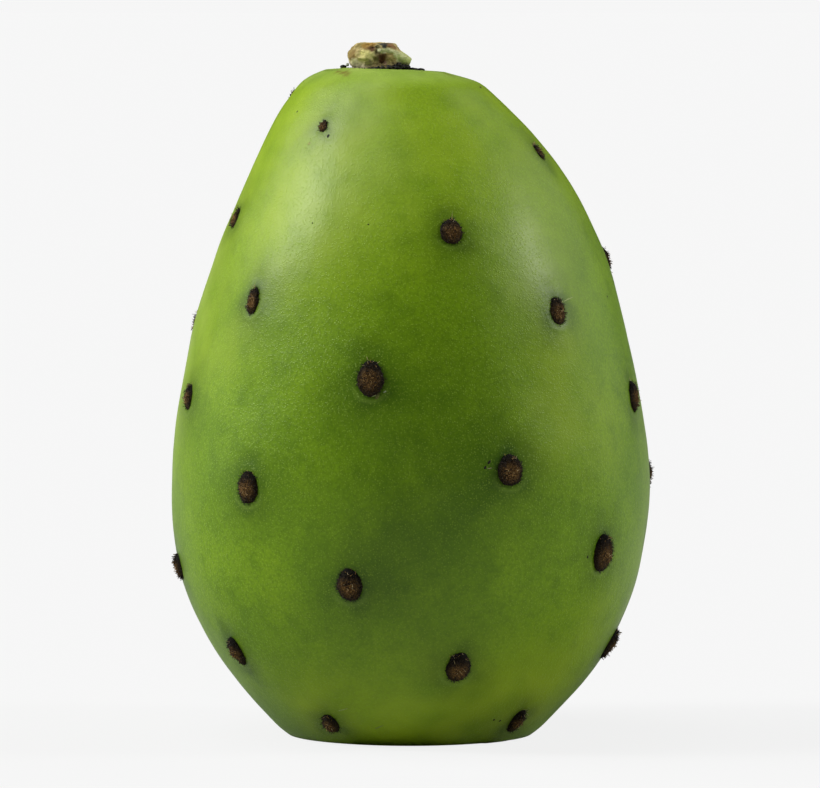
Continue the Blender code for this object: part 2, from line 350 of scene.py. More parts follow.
# %% Steps that trees share
def plant_on_points(tree, points, shape):
    """Puts a shape on each point, turned and sized as the point says, as real geometry."""
    turn = add_node(tree, "GeometryNodeInputNamedAttribute", {"Name": "turn"}, data_type="FLOAT_VECTOR")
    rotation = add_node(tree, "FunctionNodeEulerToRotation", {0: turn})
    size = add_node(tree, "GeometryNodeInputNamedAttribute", {"Name": "size"}, data_type="FLOAT_VECTOR")
    placed = add_node(tree, "GeometryNodeInstanceOnPoints", {
        "Points": points, "Instance": shape, "Rotation": rotation, "Scale": size,
    })
    return add_node(tree, "GeometryNodeRealizeInstances", {"Geometry": placed})


def roughen(tree, geometry, size, height, seed=None):
    """Pushes points in and out along their normals by a noise, which has a fourth axis if it has a seed."""
    fineness = add_node(tree, "ShaderNodeMath", {0: 1.0, 1: size}, operation="DIVIDE")
    here = add_node(tree, "GeometryNodeInputPosition")
    lumps = add_node(tree, "ShaderNodeTexNoise", {"Vector": here, "Scale": fineness, "Detail": 2.0})
    if seed is not None:
        lumps.noise_dimensions = "4D"
        tree.links.new(seed, lumps.inputs["W"])
    centred = add_node(tree, "ShaderNodeMath", {0: lumps, 1: 0.5}, operation="SUBTRACT")
    amount = add_node(tree, "ShaderNodeMath", {0: centred, 1: height}, operation="MULTIPLY")
    outwards = add_node(tree, "GeometryNodeInputNormal")
    push = add_node(tree, "ShaderNodeVectorMath", {0: outwards, "Scale": amount}, operation="SCALE")
    return add_node(tree, "GeometryNodeSetPosition", {"Geometry": geometry, "Offset": push})


print("shared steps:", plant_on_points.__name__, roughen.__name__)

# %% [markdown]
# ## Greens of the skin
#
# A prickly pear's skin is a tough cuticle over green flesh, coated with wax that grew on it. The eye
# sees a yellowish green with cloudy darker patches, thousands of pale pores about a quarter of a millimetre
# apart, and a broad soft gloss rather than a sharp one. Round each areole the green is deeper, partly
# as painted shade round the felt's bowl, and a faint pale lip of skin stands under the felt.
#
# The patterns are procedural and read Object coordinates in mm, so each scale below is a real size. The
# deeper rings, partly painted shade, the lips, the paler patches with some painted light, the deeper
# patches with some painted shade, the painted sheen, the blemishes, the dried collar and the scar have a
# place on the fruit, so they come as attributes of the mesh.
#
# Three helpers serve every material here. One makes it, one adds a noise with the mask that its range
# gives, and one lays colour layers over one another and stacks bumps.

# %% Tools for materials
PER_METRE = 1000.0


def new_material(name, roughness):
    """Makes a material and returns it with its tree, its main shader and its place in mm."""
    material = bpy.data.materials.new(name)
    material.use_nodes = True
    tree = material.node_tree
    shader = tree.nodes["Principled BSDF"]
    shader.inputs["Roughness"].default_value = roughness
    place = add_node(tree, "ShaderNodeTexCoord").outputs["Object"]
    in_mm = add_node(tree, "ShaderNodeVectorMath", {0: place, "Scale": PER_METRE}, operation="SCALE")
    return material, tree, shader, in_mm


def noise_mask(tree, place, size, detail, low, high):
    """Adds a noise of a size in mm, and a mask that spreads part of its range from 0 to 1."""
    pattern = add_node(tree, "ShaderNodeTexNoise", {"Vector": place, "Scale": 1 / size, "Detail": detail})
    return pattern, add_node(tree, "ShaderNodeMapRange", {0: pattern, 1: low, 2: high})


def finish_material(tree, shader, colour, layers, bumps):
    """Lays colour layers over a colour, stacks bumps, and links both to the main shader.

    A layer is a mask, the most that it covers, and a colour. A bump is a height, its strength, and its
    depth in mm. Both are listed from the bottom up.
    """
    for mask, share, code in layers:
        cover = add_node(tree, "ShaderNodeMath", {0: mask, 1: share}, operation="MULTIPLY")
        mixed = add_node(tree, "ShaderNodeMix", {0: cover, 6: colour, 7: linear_colour(code)},
                         data_type="RGBA")
        colour = mixed.outputs[2]
    tree.links.new(colour, shader.inputs["Base Color"])
    below = {}
    for height, strength, depth in bumps:
        bump = add_node(tree, "ShaderNodeBump", {
            "Height": height, "Strength": strength, "Distance": depth * MM, **below,
        })
        below = {"Normal": bump}
    tree.links.new(bump.outputs[0], shader.inputs["Normal"])


print("a place in metres times", PER_METRE, "is a place in mm")

# %% Waxy cactus skin, grown
SKIN_ROUGHNESS = 0.39
SKIN_IOR = 1.45
SKIN_SHINE = 0.34
SKIN_GREEN = "#87af12"
CLOUD_SIZE = 9.0
MOTTLE_SIZE = 2.6
GRAIN_SIZE = 0.36
PORE_SPACING = 0.25
# Distances from a pore's middle at which it is gone and full, in spacings
PORE_EDGE = 0.46
PORE_CORE = 0.12
# A pore's strength follows a chance value from 0 to 1, and would come to nothing at this one
PORE_FAINTNESS = -0.3

skin_material, tree, shader, place = new_material("waxy green cactus skin, grown", SKIN_ROUGHNESS)
shader.inputs["IOR"].default_value = SKIN_IOR
shader.inputs["Specular IOR Level"].default_value = SKIN_SHINE
attributes = {
    name: add_node(tree, "ShaderNodeAttribute", attribute_name=name).outputs["Fac"]
    for name in ("halo_and_shade", "lip", "collar", "scar", "pale", "deep_and_painted_shade", "painted_sheen", "blemish")
}
cloud_mask = noise_mask(tree, place, CLOUD_SIZE, detail=3.0, low=0.35, high=0.66)[1]
mottle, mottle_mask = noise_mask(tree, place, MOTTLE_SIZE, detail=4.0, low=0.50, high=0.74)
grain, grain_mask = noise_mask(tree, place, GRAIN_SIZE, detail=2.0, low=0.38, high=0.68)
pores = add_node(tree, "ShaderNodeTexVoronoi", {"Vector": place, "Scale": 1 / PORE_SPACING})
pore_dots = add_node(tree, "ShaderNodeMapRange", {
    0: pores.outputs["Distance"], 1: PORE_EDGE, 2: PORE_CORE,
}, interpolation_type="SMOOTHSTEP")
pore_chance = add_node(tree, "ShaderNodeSeparateColor", {0: pores.outputs["Color"]})
pore_kept = add_node(tree, "ShaderNodeMapRange", {0: pore_chance, 1: PORE_FAINTNESS, 2: 1.0})
pore_mask = add_node(tree, "ShaderNodeMath", {0: pore_dots, 1: pore_kept}, operation="MULTIPLY")

SKIN_LAYERS = (
    (cloud_mask, 0.70, "#68910a"),
    (mottle_mask, 0.50, "#577e08"),
    (grain_mask, 0.40, "#4c7106"),
    # Deeper green, partly painted shade where little light falls
    (attributes["deep_and_painted_shade"], 0.60, "#436804"),
    # Paler green, partly painted light on the lit left side, the upper side and the base
    (attributes["pale"], 0.80, "#aecb2a"),
    # Painted sheen: a whitish green laid where the lights' reflection falls
    (attributes["painted_sheen"], 0.50, "#c3d98e"),
    # Darker ring round each areole, partly painted shade round its bowl
    (attributes["halo_and_shade"], 0.76, "#284a05"),
    (pore_mask, 0.46, "#a6c742"),
    (attributes["lip"], 0.26, "#93b544"),
    (attributes["blemish"], 0.75, "#7a5a2a"),
    (attributes["collar"], 0.92, "#1b150b"),
    (attributes["scar"], 0.95, "#8b7348"),
)
SKIN_BUMPS = ((grain, 0.50, 0.06), (pore_mask, 0.40, 0.06), (mottle, 0.40, 0.18))
finish_material(tree, shader, linear_colour(SKIN_GREEN), SKIN_LAYERS, SKIN_BUMPS)
print("skin layers:", len(SKIN_LAYERS), "and bumps:", len(SKIN_BUMPS))

# %% [markdown]
# ## The body
#
# A body of revolution follows a rule, so a Geometry Nodes tree turns it. A flat grid gets one column for
# each step round and one row for each step along the outline. Each point then moves to where the
# outline's curve is at its row, swung round to its column. Points that meet are merged, which closes the
# seam and both poles. Each point keeps its share of the way along the outline in an attribute.

# %% The turning tree
# Points nearer than this, in mm, become one
MERGE_DISTANCE = 0.002

tree, given = start_tree("turned body", {"Columns": "Int", "Rows": "Int"})
curve = add_node(tree, "GeometryNodeMeshToCurve", {"Mesh": given["Geometry"]})
columns = add_node(tree, "ShaderNodeMath", {0: given["Columns"], 1: 1.0}, operation="ADD")
grid = add_node(tree, "GeometryNodeMeshGrid", {
    "Size X": 1.0, "Size Y": 1.0, "Vertices X": columns, "Vertices Y": given["Rows"],
})
spot = add_node(tree, "ShaderNodeSeparateXYZ", {0: add_node(tree, "GeometryNodeInputPosition")})
swing = add_node(tree, "ShaderNodeMath", {0: spot.outputs["X"], 1: 0.5}, operation="ADD")
angle = add_node(tree, "ShaderNodeMath", {0: swing, 1: math.tau}, operation="MULTIPLY")
share = add_node(tree, "ShaderNodeMath", {0: spot.outputs["Y"], 1: 0.5}, operation="ADD", use_clamp=True)
kept = add_node(tree, "GeometryNodeStoreNamedAttribute", {
    "Geometry": grid.outputs["Mesh"], "Name": "path", "Value": share,
})
kept_share = add_node(tree, "GeometryNodeInputNamedAttribute", {"Name": "path"})
sample = add_node(tree, "GeometryNodeSampleCurve", {"Curves": curve, "Factor": kept_share},
                  use_all_curves=True)
swung = add_node(tree, "ShaderNodeVectorRotate", {
    "Vector": sample.outputs["Position"], "Axis": (0.0, 0.0, 1.0), "Angle": angle,
})
moved = add_node(tree, "GeometryNodeSetPosition", {"Geometry": kept, "Position": swung})
closed = add_node(tree, "GeometryNodeMergeByDistance", {"Geometry": moved, "Distance": MERGE_DISTANCE * MM})
end_tree(tree, closed, given)

turned_points = [(radius, 0.0, height) for radius, height in outline]
outline_mesh = blank_mesh("outline", turned_points, [(i, i + 1) for i in range(len(outline) - 1)])
skin = run_tree("fruit_skin", outline_mesh, tree,
                {"Columns": 176, "Rows": 158, "Material": skin_material})
print("turned skin:", len(skin.data.vertices), "points,", triangles(skin), "triangles")

# %% [markdown]
# ## More points where the skin needs them
#
# The smooth parts of the skin need a point only every millimetre, but the lip round an areole is a
# quarter of a millimetre wide. So the faces are split once within 2.6 mm of the felt's ends and again
# within 1.2 mm, and so are those of the collar. Every point is then put back on the exact outline.

# %% Splitting the faces near the areoles
# Two rounds of splitting: the margin round the felt and the reach from the axis at the top, in mm
SPLIT_ROUNDS = ((2.6, 8.0), (1.2, 6.5))
# Faces of the socket's floor, nearer the axis than this in mm, aren't split
SOCKET_INSIDE = 2.5

turned_centres = []
for areole in areoles:
    x, y, z = areole["centre"]
    lean = LEAN * max((z - LEAN_START) / (TOP_HEIGHT - LEAN_START), 0.0) ** LEAN_CURVE
    turned_centres.append((x - lean, y, z))
turned_centres = np.array(turned_centres)
half_lengths = np.array([areole["length"] / 2 for areole in areoles])


def split_near(form, margin, collar_radius):
    """Splits in four the faces within a margin of an areole's felt, in mm, and those of the collar."""
    form.faces.ensure_lookup_table()
    middles = np.array([face.calc_center_median() for face in form.faces]) / MM
    gaps = np.linalg.norm(middles[:, None, :] - turned_centres[None, :, :], axis=2) - half_lengths
    radii = np.hypot(middles[:, 0], middles[:, 1])
    near_collar = (middles[:, 2] > TILT_START) & (radii < collar_radius) & (radii > SOCKET_INSIDE)
    chosen = np.flatnonzero((gaps.min(axis=1) < margin) | near_collar)
    edges = {edge for index in chosen for edge in form.faces[index].edges}
    bmesh.ops.subdivide_edges(form, edges=list(edges), cuts=1, use_grid_fill=True)


form = bmesh.new()
form.from_mesh(skin.data)
for margin, collar_radius in SPLIT_ROUNDS:
    split_near(form, margin, collar_radius)
bmesh.ops.recalc_face_normals(form, faces=form.faces)
open_edges = sum(not edge.is_manifold for edge in form.edges)
form.to_mesh(skin.data)
form.free()
print("open edges:", open_edges, "points:", len(skin.data.vertices), "triangles:", triangles(skin))

# %% [markdown]
# ## The relief of the skin
#
# Under each areole the fruit swells a little, and the felt sits in a shallow bowl with a faint groove and
# lip round it. The lip is strongest at the lower end, and the skin dips just above the upper end. Between
# the areoles the surface is not a perfect egg either: it undulates by a tenth of a millimetre or two, and
# a few broad swells and dents have their own places. All of it is added along the outward direction, and
# fades out at the base so that the fruit still stands on its ring.

# %% Points back on the outline
def read_points(mesh):
    """Reads the points of a mesh as an array in mm."""
    values = np.empty(len(mesh.vertices) * 3)
    mesh.vertices.foreach_get("co", values)
    return values.reshape(-1, 3) / MM


def read_values(mesh, name):
    """Reads a number for each point of a mesh."""
    values = np.empty(len(mesh.vertices))
    mesh.attributes[name].data.foreach_get("value", values)
    return values


def noise_at(places, size, seed):
    """Gives smooth noise from -1 to 1 at each place, for features of a size in mm.

    The seed moves the places to another part of the noise.
    """
    shift = Vector((seed * 17.3, seed * 5.1, seed * 9.7))
    return np.array([noise.noise(Vector(place) / size + shift) for place in places])


def on_outline(way, column):
    """Reads the radius (column 0) or the height (column 1) of the outline at a way along it in mm."""
    return np.interp(way, walked, outline[:, column])


SLOPE_STEP = 0.3
turned = read_points(skin.data)
path = read_values(skin.data, "path") * outline_length
azimuths = np.arctan2(turned[:, 0], -turned[:, 1])
radii = on_outline(path, 0)
heights = on_outline(path, 1)
fall = on_outline(path + SLOPE_STEP, 1) - on_outline(path - SLOPE_STEP, 1)
spread = on_outline(path + SLOPE_STEP, 0) - on_outline(path - SLOPE_STEP, 0)
steepness = np.maximum(np.hypot(fall, spread), 1e-6)
outward = np.stack([
    np.sin(azimuths) * -fall / steepness,
    -np.cos(azimuths) * -fall / steepness,
    spread / steepness,
], axis=1)
smooth = bent(np.stack([radii * np.sin(azimuths), -radii * np.cos(azimuths), heights], axis=1), radii)
side_start = walked[len(SOCKET_OUTLINE) + len(COLLAR_OUTLINE)]
side_end = side_start + np.linalg.norm(np.diff(side, axis=0), axis=1).sum()
on_side = (path > side_start) & (path < side_end)
print("points on the side:", int(on_side.sum()))

# %% Bowls, lips and swellings
SWELLING_HEIGHT = 0.22
SWELLING_REACH = 3.8
CUSHION_TAPER = 0.22
# Gaps from the felt's edge at which the bowl starts and has its full depth, in mm
BOWL_RANGE = (-0.10, -0.55)
BOWL_DEPTH = 0.22
GROOVE_DEPTH = 0.02
GROOVE_WIDTH = 0.22
LIP_HEIGHT = 0.025
LIP_GAP = 0.40
LIP_WIDTH = 0.26
# The lip has this share of its height at the upper end, and all of it on an areole of this length in mm
LIP_SHARE_ABOVE = 0.2
LIP_FULL_LENGTH = 4.0
# How far down its areole a point lies, as a share of its distance, where the lower lip starts and is full
LOWER_END = (-0.3, 0.9)
DIP_DEPTH = 0.07
DIP_GAP = 1.1
DIP_HALF_WIDTH = 1.2
DIP_HALF_LENGTH = 0.9
# The darker ring round each areole, partly deeper green and partly painted shade: its reach in mm and how
# fast it fades
HALO_REACH = 2.1
HALO_FALL = 1.3
NEAR = 9.0

rise = np.zeros(len(smooth))
detail = np.zeros(len(smooth))
halo_and_shade = np.zeros(len(smooth))
lip = np.zeros(len(smooth))
for areole in areoles:
    offset = smooth - areole["centre"]
    distance = np.linalg.norm(offset, axis=1)
    rise += SWELLING_HEIGHT * np.exp(-0.5 * (distance / SWELLING_REACH) ** 2)
    near = np.flatnonzero((distance < NEAR) & on_side)
    across = offset[near] @ areole["across"]
    along = offset[near] @ areole["along"]
    half_length = areole["length"] / 2
    taper = 1.0 - CUSHION_TAPER * np.clip(along / half_length, -1.0, 1.0)
    share = np.hypot(across / (areole["width"] / 2 * taper), along / half_length)
    reach = np.hypot(across, along)
    gap = reach * (1.0 - 1.0 / np.maximum(share, 1e-4))
    lower = ramp(*LOWER_END, -along / np.maximum(reach, 1e-4))
    lip_shape = np.exp(-((gap - LIP_GAP) / LIP_WIDTH) ** 2) * areole["length"] / LIP_FULL_LENGTH
    lip_shape *= LIP_SHARE_ABOVE + (1.0 - LIP_SHARE_ABOVE) * lower
    detail[near] -= BOWL_DEPTH * ramp(*BOWL_RANGE, gap)
    detail[near] -= GROOVE_DEPTH * np.exp(-(gap / GROOVE_WIDTH) ** 2)
    detail[near] += LIP_HEIGHT * lip_shape
    above = (across / DIP_HALF_WIDTH) ** 2 + ((along - half_length - DIP_GAP) / DIP_HALF_LENGTH) ** 2
    detail[near] -= DIP_DEPTH * np.exp(-above)
    halo_and_shade[near] = np.maximum(halo_and_shade[near], np.exp(-(np.maximum(gap, 0.0) / HALO_REACH) ** HALO_FALL))
    lip[near] = np.maximum(lip[near], lip_shape * lower)
print(f"swelling at most {rise.max():.2f} mm, bowls down to {detail.min():.2f} mm")

# %% Broad forms and patches
# Waves: size and height in mm, seed
WAVES = ((17.0, 0.12, 1), (7.0, 0.10, 2), (3.4, 0.035, 3), (1.6, 0.010, 14))
# Broad swells and dents of the flesh: azimuth in degrees, height in mm, reach round and up in mm, rise in mm
BROAD_FORMS = (
    (-80.0, 78.6, 5.0, 1.5, -0.50),
    (-82.0, 71.0, 6.0, 4.0, 0.22),
    (-31.0, 63.0, 2.6, 3.6, 0.24),
    (-19.0, 60.0, 3.0, 5.0, -0.14),
    (-23.5, 74.6, 1.4, 2.0, 0.13),
    (-40.0, 71.0, 2.4, 2.6, -0.10),
    (36.0, 59.0, 3.6, 5.0, 0.22),
    (22.0, 66.0, 4.0, 7.0, -0.12),
    (46.0, 50.0, 3.5, 5.0, 0.15),
    (50.0, 74.5, 2.4, 2.4, -0.25),
    (-8.0, 74.0, 4.0, 3.0, 0.06),
)
# Patches of paler green, partly painted light, of deeper green, partly painted shade, and of painted
# sheen: azimuth in degrees, height, reach round and reach up in mm, strength
TONE_PATCHES = {
    # Paler green, partly painted light on the lit left side, the upper side and the base
    "pale": (
        (-38.0, 65.0, 6.0, 9.0, 0.60),
        (38.0, 57.0, 5.0, 6.0, 0.30),
        (33.0, 6.0, 8.0, 5.0, 0.65),
        (-20.0, 6.0, 9.0, 4.0, 0.30),
        (36.0, 39.5, 3.2, 4.0, 0.40),
        (41.0, 47.0, 3.0, 2.5, 0.40),
        (-2.0, 1.2, 6.0, 2.5, 0.80),
        (50.0, 38.0, 4.0, 4.0, 0.35),
        (52.0, 5.5, 3.5, 3.0, 0.60),
        (-36.0, 4.5, 3.0, 2.5, 0.50),
        (60.0, 15.0, 4.0, 5.0, 0.25),
        (-84.0, 52.0, 6.0, 13.0, 0.60),
        (-57.0, 47.5, 4.0, 3.0, 0.35),
    ),
    # Deeper green, partly painted shade where little light falls
    "deep_and_painted_shade": (
        (6.0, 39.0, 7.0, 8.0, 0.65),
        (20.0, 33.0, 6.0, 6.0, 0.70),
        (24.5, 35.5, 2.6, 3.0, 0.40),
        (-4.0, 26.0, 6.0, 6.0, 0.50),
        (-8.0, 21.5, 2.5, 3.0, 0.45),
        (-4.0, 49.5, 3.5, 3.0, 0.45),
        (-17.0, 42.5, 2.6, 3.0, 0.40),
        (-34.0, 34.0, 6.0, 6.0, 0.38),
        (-42.0, 55.6, 2.6, 2.4, 0.80),
        (0.0, 13.0, 12.0, 5.0, 0.22),
        (-58.0, 1.5, 4.0, 3.0, 0.85),
        (130.0, 40.0, 8.0, 12.0, 0.50),
        (-140.0, 30.0, 9.0, 9.0, 0.50),
    ),
    # Painted sheen, whitish, where the lights' reflection falls
    "painted_sheen": (
        (-17.0, 70.5, 3.6, 5.0, 0.26),
        (-24.0, 75.5, 2.2, 2.0, 0.35),
        (37.0, 57.0, 3.2, 4.2, 0.42),
        (-86.0, 53.0, 5.0, 11.0, 0.40),
        (-32.0, 65.0, 2.2, 3.6, 0.40),
    ),
}


def patch_at(azimuth, height, reach_round, reach_up):
    """Gives each point 1 at a place on the side, falling to 0 within the two reaches in mm."""
    swing = (azimuths - math.radians(azimuth) + math.pi) % math.tau - math.pi
    round_gap = swing * np.interp(height, side[::-1, 1], side[::-1, 0])
    return np.exp(-0.5 * ((round_gap / reach_round) ** 2 + ((heights - height) / reach_up) ** 2))


# Heights in mm between which the waves and swellings fade in above the ring that the fruit stands on
BASE_FADE = (0.4, 5.0)

above_base = ramp(*BASE_FADE, heights)
waves = sum(amount * noise_at(smooth, size, seed) for size, amount, seed in WAVES)
for azimuth, height, reach_round, reach_up, amount in BROAD_FORMS:
    waves += amount * patch_at(azimuth, height, reach_round, reach_up)
print(f"waves and broad forms from {waves.min():.2f} to {waves.max():.2f} mm")

# %% Collar, flat top and scar
# Radii in mm between which the dark collar fades in, its ragged edge in mm, and its crust's height in mm
COLLAR_EDGE = (4.35, 3.85)
COLLAR_RAGGEDNESS = 0.35
COLLAR_ROUGHNESS = 0.10
SOCKET_WALL = (3.0, 3.6)
# On the flat top the waves are this much higher, and fade in between these radii in mm
TOP_WAVES = 1.3
TOP_WAVES_FADE = (4.2, 6.8)
# The scar starts this far inside the ring that the fruit stands on, and is full this far, in mm
SCAR_START = 1.5
SCAR_FULL = 3.0
SCAR_RING_SPACING = 1.5
SCAR_RING_HEIGHT = 0.12
SCAR_RING_WANDER = 1.5
SCAR_FLUTE_HEIGHT = 0.10
# Bowls, grooves and lips fade in over these first mm above the ring
DETAIL_FADE = (0.0, 1.5)

on_top = (heights > TILT_START - TOP_MARGIN) & (path < side_start + TOP_MARGIN)
collar_radii = radii + COLLAR_RAGGEDNESS * noise_at(smooth, size=0.9, seed=4)
collar = np.where(on_top, ramp(*COLLAR_EDGE, collar_radii), 0.0)
crust = COLLAR_ROUGHNESS * noise_at(smooth, size=0.7, seed=5) * collar * ramp(*SOCKET_WALL, radii)
in_scar = path > side_end + SCAR_START
ring_phase = math.tau * radii / SCAR_RING_SPACING + SCAR_RING_WANDER * noise_at(smooth, size=5.0, seed=6)
# Places squeezed along the radius, which draws the noise out into flutes
rays = np.stack([azimuths * 6.0, radii * 0.25, heights * 0.0], axis=1)
scar_form = SCAR_RING_HEIGHT * np.sin(ring_phase) + SCAR_FLUTE_HEIGHT * noise_at(rays, size=0.5, seed=7)
scar_relief = np.where(in_scar, scar_form * ramp(side_end + SCAR_START, side_end + SCAR_FULL, path), 0.0)
relief = np.where(on_side, (rise + waves) * above_base + detail * ramp(*DETAIL_FADE, heights), 0.0)
on_flat_top = on_top & (path <= side_start)
relief += np.where(on_flat_top, TOP_WAVES * waves * ramp(*TOP_WAVES_FADE, radii), 0.0)
relief += crust + scar_relief
finished = smooth + outward * relief[:, None]
finished[:, 2] = np.maximum(finished[:, 2], 0.0)
skin.data.vertices.foreach_set("co", (finished * MM).ravel())
skin.data.update()
print("skin relief from", relief.min().round(2), "to", relief.max().round(2), "mm")

# %% Tones kept at the points
# Heights in mm between which the whole fruit turns paler, partly as painted light from above, and the
# flat top gets a painted sheen, and by how much
PALE_RANGE = (50.0, 74.0)
PAINTED_SHEEN_RANGE = (77.6, 79.8)
TOP_TONE = 0.45
# Share of the deeper ring, partly painted shade, that is kept everywhere, and how far noise takes it up
# and down
HALO_SHARE = 0.75
HALO_WANDER = 0.45
# Brown blemishes on the flat top: place in mm and reach in mm
BLEMISHES = (
    (-7.9, -6.3, 0.50), (-7.5, -7.2, 0.45), (-8.5, -5.2, 0.45), (-7.4, -4.4, 0.30), (4.5, -3.0, 0.40),
)
BLEMISH_RAGGEDNESS = 0.25
# A blemish is gone and full at these shares of its reach, and only on the flat top, from these heights in mm
BLEMISH_FADE = (1.7, 0.3)
FLAT_TOP_FADE = (78.0, 78.6)


def write_values(mesh, name, values, kind="FLOAT", field="value"):
    """Stores a number for each point of a mesh, or a vector or a colour."""
    layer = mesh.attributes.new(name, kind, "POINT")
    layer.data.foreach_set(field, np.asarray(values, dtype=np.float32).ravel())


halo_and_shade *= HALO_SHARE + HALO_WANDER * noise_at(smooth, size=2.2, seed=8)
tones = {
    "pale": TOP_TONE * ramp(*PALE_RANGE, heights),
    "deep_and_painted_shade": np.zeros(len(smooth)),
    "painted_sheen": TOP_TONE * ramp(*PAINTED_SHEEN_RANGE, heights),
}
unevenness = 1.0 + 0.5 * noise_at(smooth, size=4.0, seed=10) + 0.3 * noise_at(smooth, size=1.8, seed=15)
for name, patches in TONE_PATCHES.items():
    for azimuth, height, reach_round, reach_up, amount in patches:
        tones[name] += amount * patch_at(azimuth, height, reach_round, reach_up)
    write_values(skin.data, name, np.clip(tones[name] * unevenness, 0.0, 1.0))
blemish = np.zeros(len(smooth))
ragged = BLEMISH_RAGGEDNESS * noise_at(smooth, size=0.5, seed=9)
above_side = ramp(*FLAT_TOP_FADE, heights)
for x, y, reach in BLEMISHES:
    gap = np.hypot(smooth[:, 0] - x, smooth[:, 1] - y) + ragged
    blemish = np.maximum(blemish, ramp(*BLEMISH_FADE, gap / reach) * above_side)
for name, values in (
    ("halo_and_shade", np.clip(halo_and_shade, 0.0, 1.0)), ("lip", lip), ("collar", collar),
    ("scar", np.where(in_scar, 1.0, 0.0)), ("blemish", blemish),
):
    write_values(skin.data, name, values)
print("attributes of the skin:", [layer.name for layer in skin.data.attributes if layer.domain == "POINT"])

# %% Skin in place
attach(skin, "root")
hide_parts("fruit")
print("the skin stands for the packed fruit, with", triangles(skin), "triangles")

# %% [markdown]
# ## Felted cushions
#
# Each areole is a dense cushion of short brown wool, like felt, that is narrower and a little higher at
# its upper end. One cushion shape is enough for all of them: Geometry Nodes put it on forty points, each
# with its own turn and size, and then roughen the real result with noise so that no two are alike. The
# cushion keeps how near each point is to its rim and to its upper end, because the felt is nearly black
# there.

# %% Brown wool felt, matted as it grew
FELT_ROUGHNESS = 0.95
FELT_SHINE = 0.25
FELT_BROWN = "#1a1109"
TUFT_SIZE = 0.9
FIBRE_SIZE = 0.16
FLECK_SPACING = 0.25
# Distances from a fleck's middle at which it is gone and full, in spacings
FLECK_EDGE = 0.34
FLECK_CORE = 0.10
# Where the dark rim and the dark upper end start and where they are full, as shares of the half size
DARK_ENDS = {"rim": (0.42, 0.90), "upper": (0.05, 0.60)}

felt_material, tree, shader, place = new_material("brown areole wool, matted as it grew", FELT_ROUGHNESS)
shader.inputs["Specular IOR Level"].default_value = FELT_SHINE
tuft_mask = noise_mask(tree, place, TUFT_SIZE, detail=3.0, low=0.40, high=0.64)[1]
fibres, fibre_mask = noise_mask(tree, place, FIBRE_SIZE, detail=3.0, low=0.40, high=0.66)
fleck_cells = add_node(tree, "ShaderNodeTexVoronoi", {"Vector": place, "Scale": 1 / FLECK_SPACING})
flecks = add_node(tree, "ShaderNodeMapRange", {
    0: fleck_cells.outputs["Distance"], 1: FLECK_EDGE, 2: FLECK_CORE,
})
dark = {}
for name, (low, high) in DARK_ENDS.items():
    own = add_node(tree, "ShaderNodeAttribute", attribute_name=name).outputs["Fac"]
    dark[name] = add_node(tree, "ShaderNodeMapRange", {0: own, 1: low, 2: high})
FELT_LAYERS = (
    (tuft_mask, 0.80, "#654922"),
    (fibre_mask, 0.60, "#94703c"),
    (flecks, 0.72, "#c9a566"),
    (dark["rim"], 0.88, "#0f0c07"),
    (dark["upper"], 0.80, "#0e0d09"),
)
FELT_BUMPS = ((fibres, 0.8, 0.08),)
finish_material(tree, shader, linear_colour(FELT_BROWN), FELT_LAYERS, FELT_BUMPS)
print("felt layers:", len(FELT_LAYERS))

# %% Points for the cushions
CUSHION_RISE = 0.21
CUSHION_ROOT = 0.35
CUSHION_WIDTH_SHARE = 0.95
CUSHION_LENGTH_SHARE = 0.97


def turn_onto(across, along, outward):
    """Gives the turn that lays x, y and z along three directions, as Euler angles."""
    return tuple(Matrix(np.stack([across, along, outward])).transposed().to_euler())


spots = []
turns = []
sizes = []
for areole in areoles:
    centre = areole["centre"]
    gaps = np.linalg.norm(areole_centres - centre, axis=1)
    swelling = SWELLING_HEIGHT * np.exp(-0.5 * (gaps / SWELLING_REACH) ** 2).sum()
    swelling *= float(ramp(*BASE_FADE, centre[2]))
    spots.append(centre + (swelling - CUSHION_ROOT) * areole["outward"])
    turns.append(turn_onto(areole["across"], areole["along"], areole["outward"]))
    sizes.append((
        CUSHION_WIDTH_SHARE * areole["width"] / 2,
        CUSHION_LENGTH_SHARE * areole["length"] / 2,
        CUSHION_RISE * areole["width"] + CUSHION_ROOT,
    ))
sizes = np.array(sizes) * MM
cushion_points = blank_mesh("cushion_points", spots)
write_values(cushion_points, "turn", turns, "FLOAT_VECTOR", "vector")
write_values(cushion_points, "size", sizes, "FLOAT_VECTOR", "vector")
shortest, longest = (extreme(sizes[:, 1]) * 2 / MM for extreme in (min, max))
print(f"cushions from {shortest:.1f} to {longest:.1f} mm long")

# %% The cushion tree
# On a ball of radius 1: the width at the middle, what it loses towards the upper end, and what the height
# gains there. The power squares the dome's side off a little
CUSHION_WIDEST = 1.02
CUSHION_NARROWING = -0.088
CUSHION_CREST = 0.1625
CUSHION_POWER = 0.80

tree, given = start_tree("felted cushions", {
    "Columns": "Int", "Rings": "Int", "Tuft size": "Float", "Tuft height": "Float",
    "Grain size": "Float", "Grain height": "Float", "Seed": "Float",
})
ball = add_node(tree, "GeometryNodeMeshUVSphere", {
    "Segments": given["Columns"], "Rings": given["Rings"], "Radius": 1.0,
})
spot = add_node(tree, "ShaderNodeSeparateXYZ", {0: add_node(tree, "GeometryNodeInputPosition")})
flat_spot = add_node(tree, "ShaderNodeCombineXYZ", {"X": spot.outputs["X"], "Y": spot.outputs["Y"]})
from_middle = add_node(tree, "ShaderNodeVectorMath", {0: flat_spot}, operation="LENGTH")
geometry = ball.outputs["Mesh"]
for name, value in (
    ("rim", from_middle.outputs["Value"]), ("upper", spot.outputs["Y"]), ("top", spot.outputs["Z"]),
):
    geometry = add_node(tree, "GeometryNodeStoreNamedAttribute", {
        "Geometry": geometry, "Name": name, "Value": value,
    })
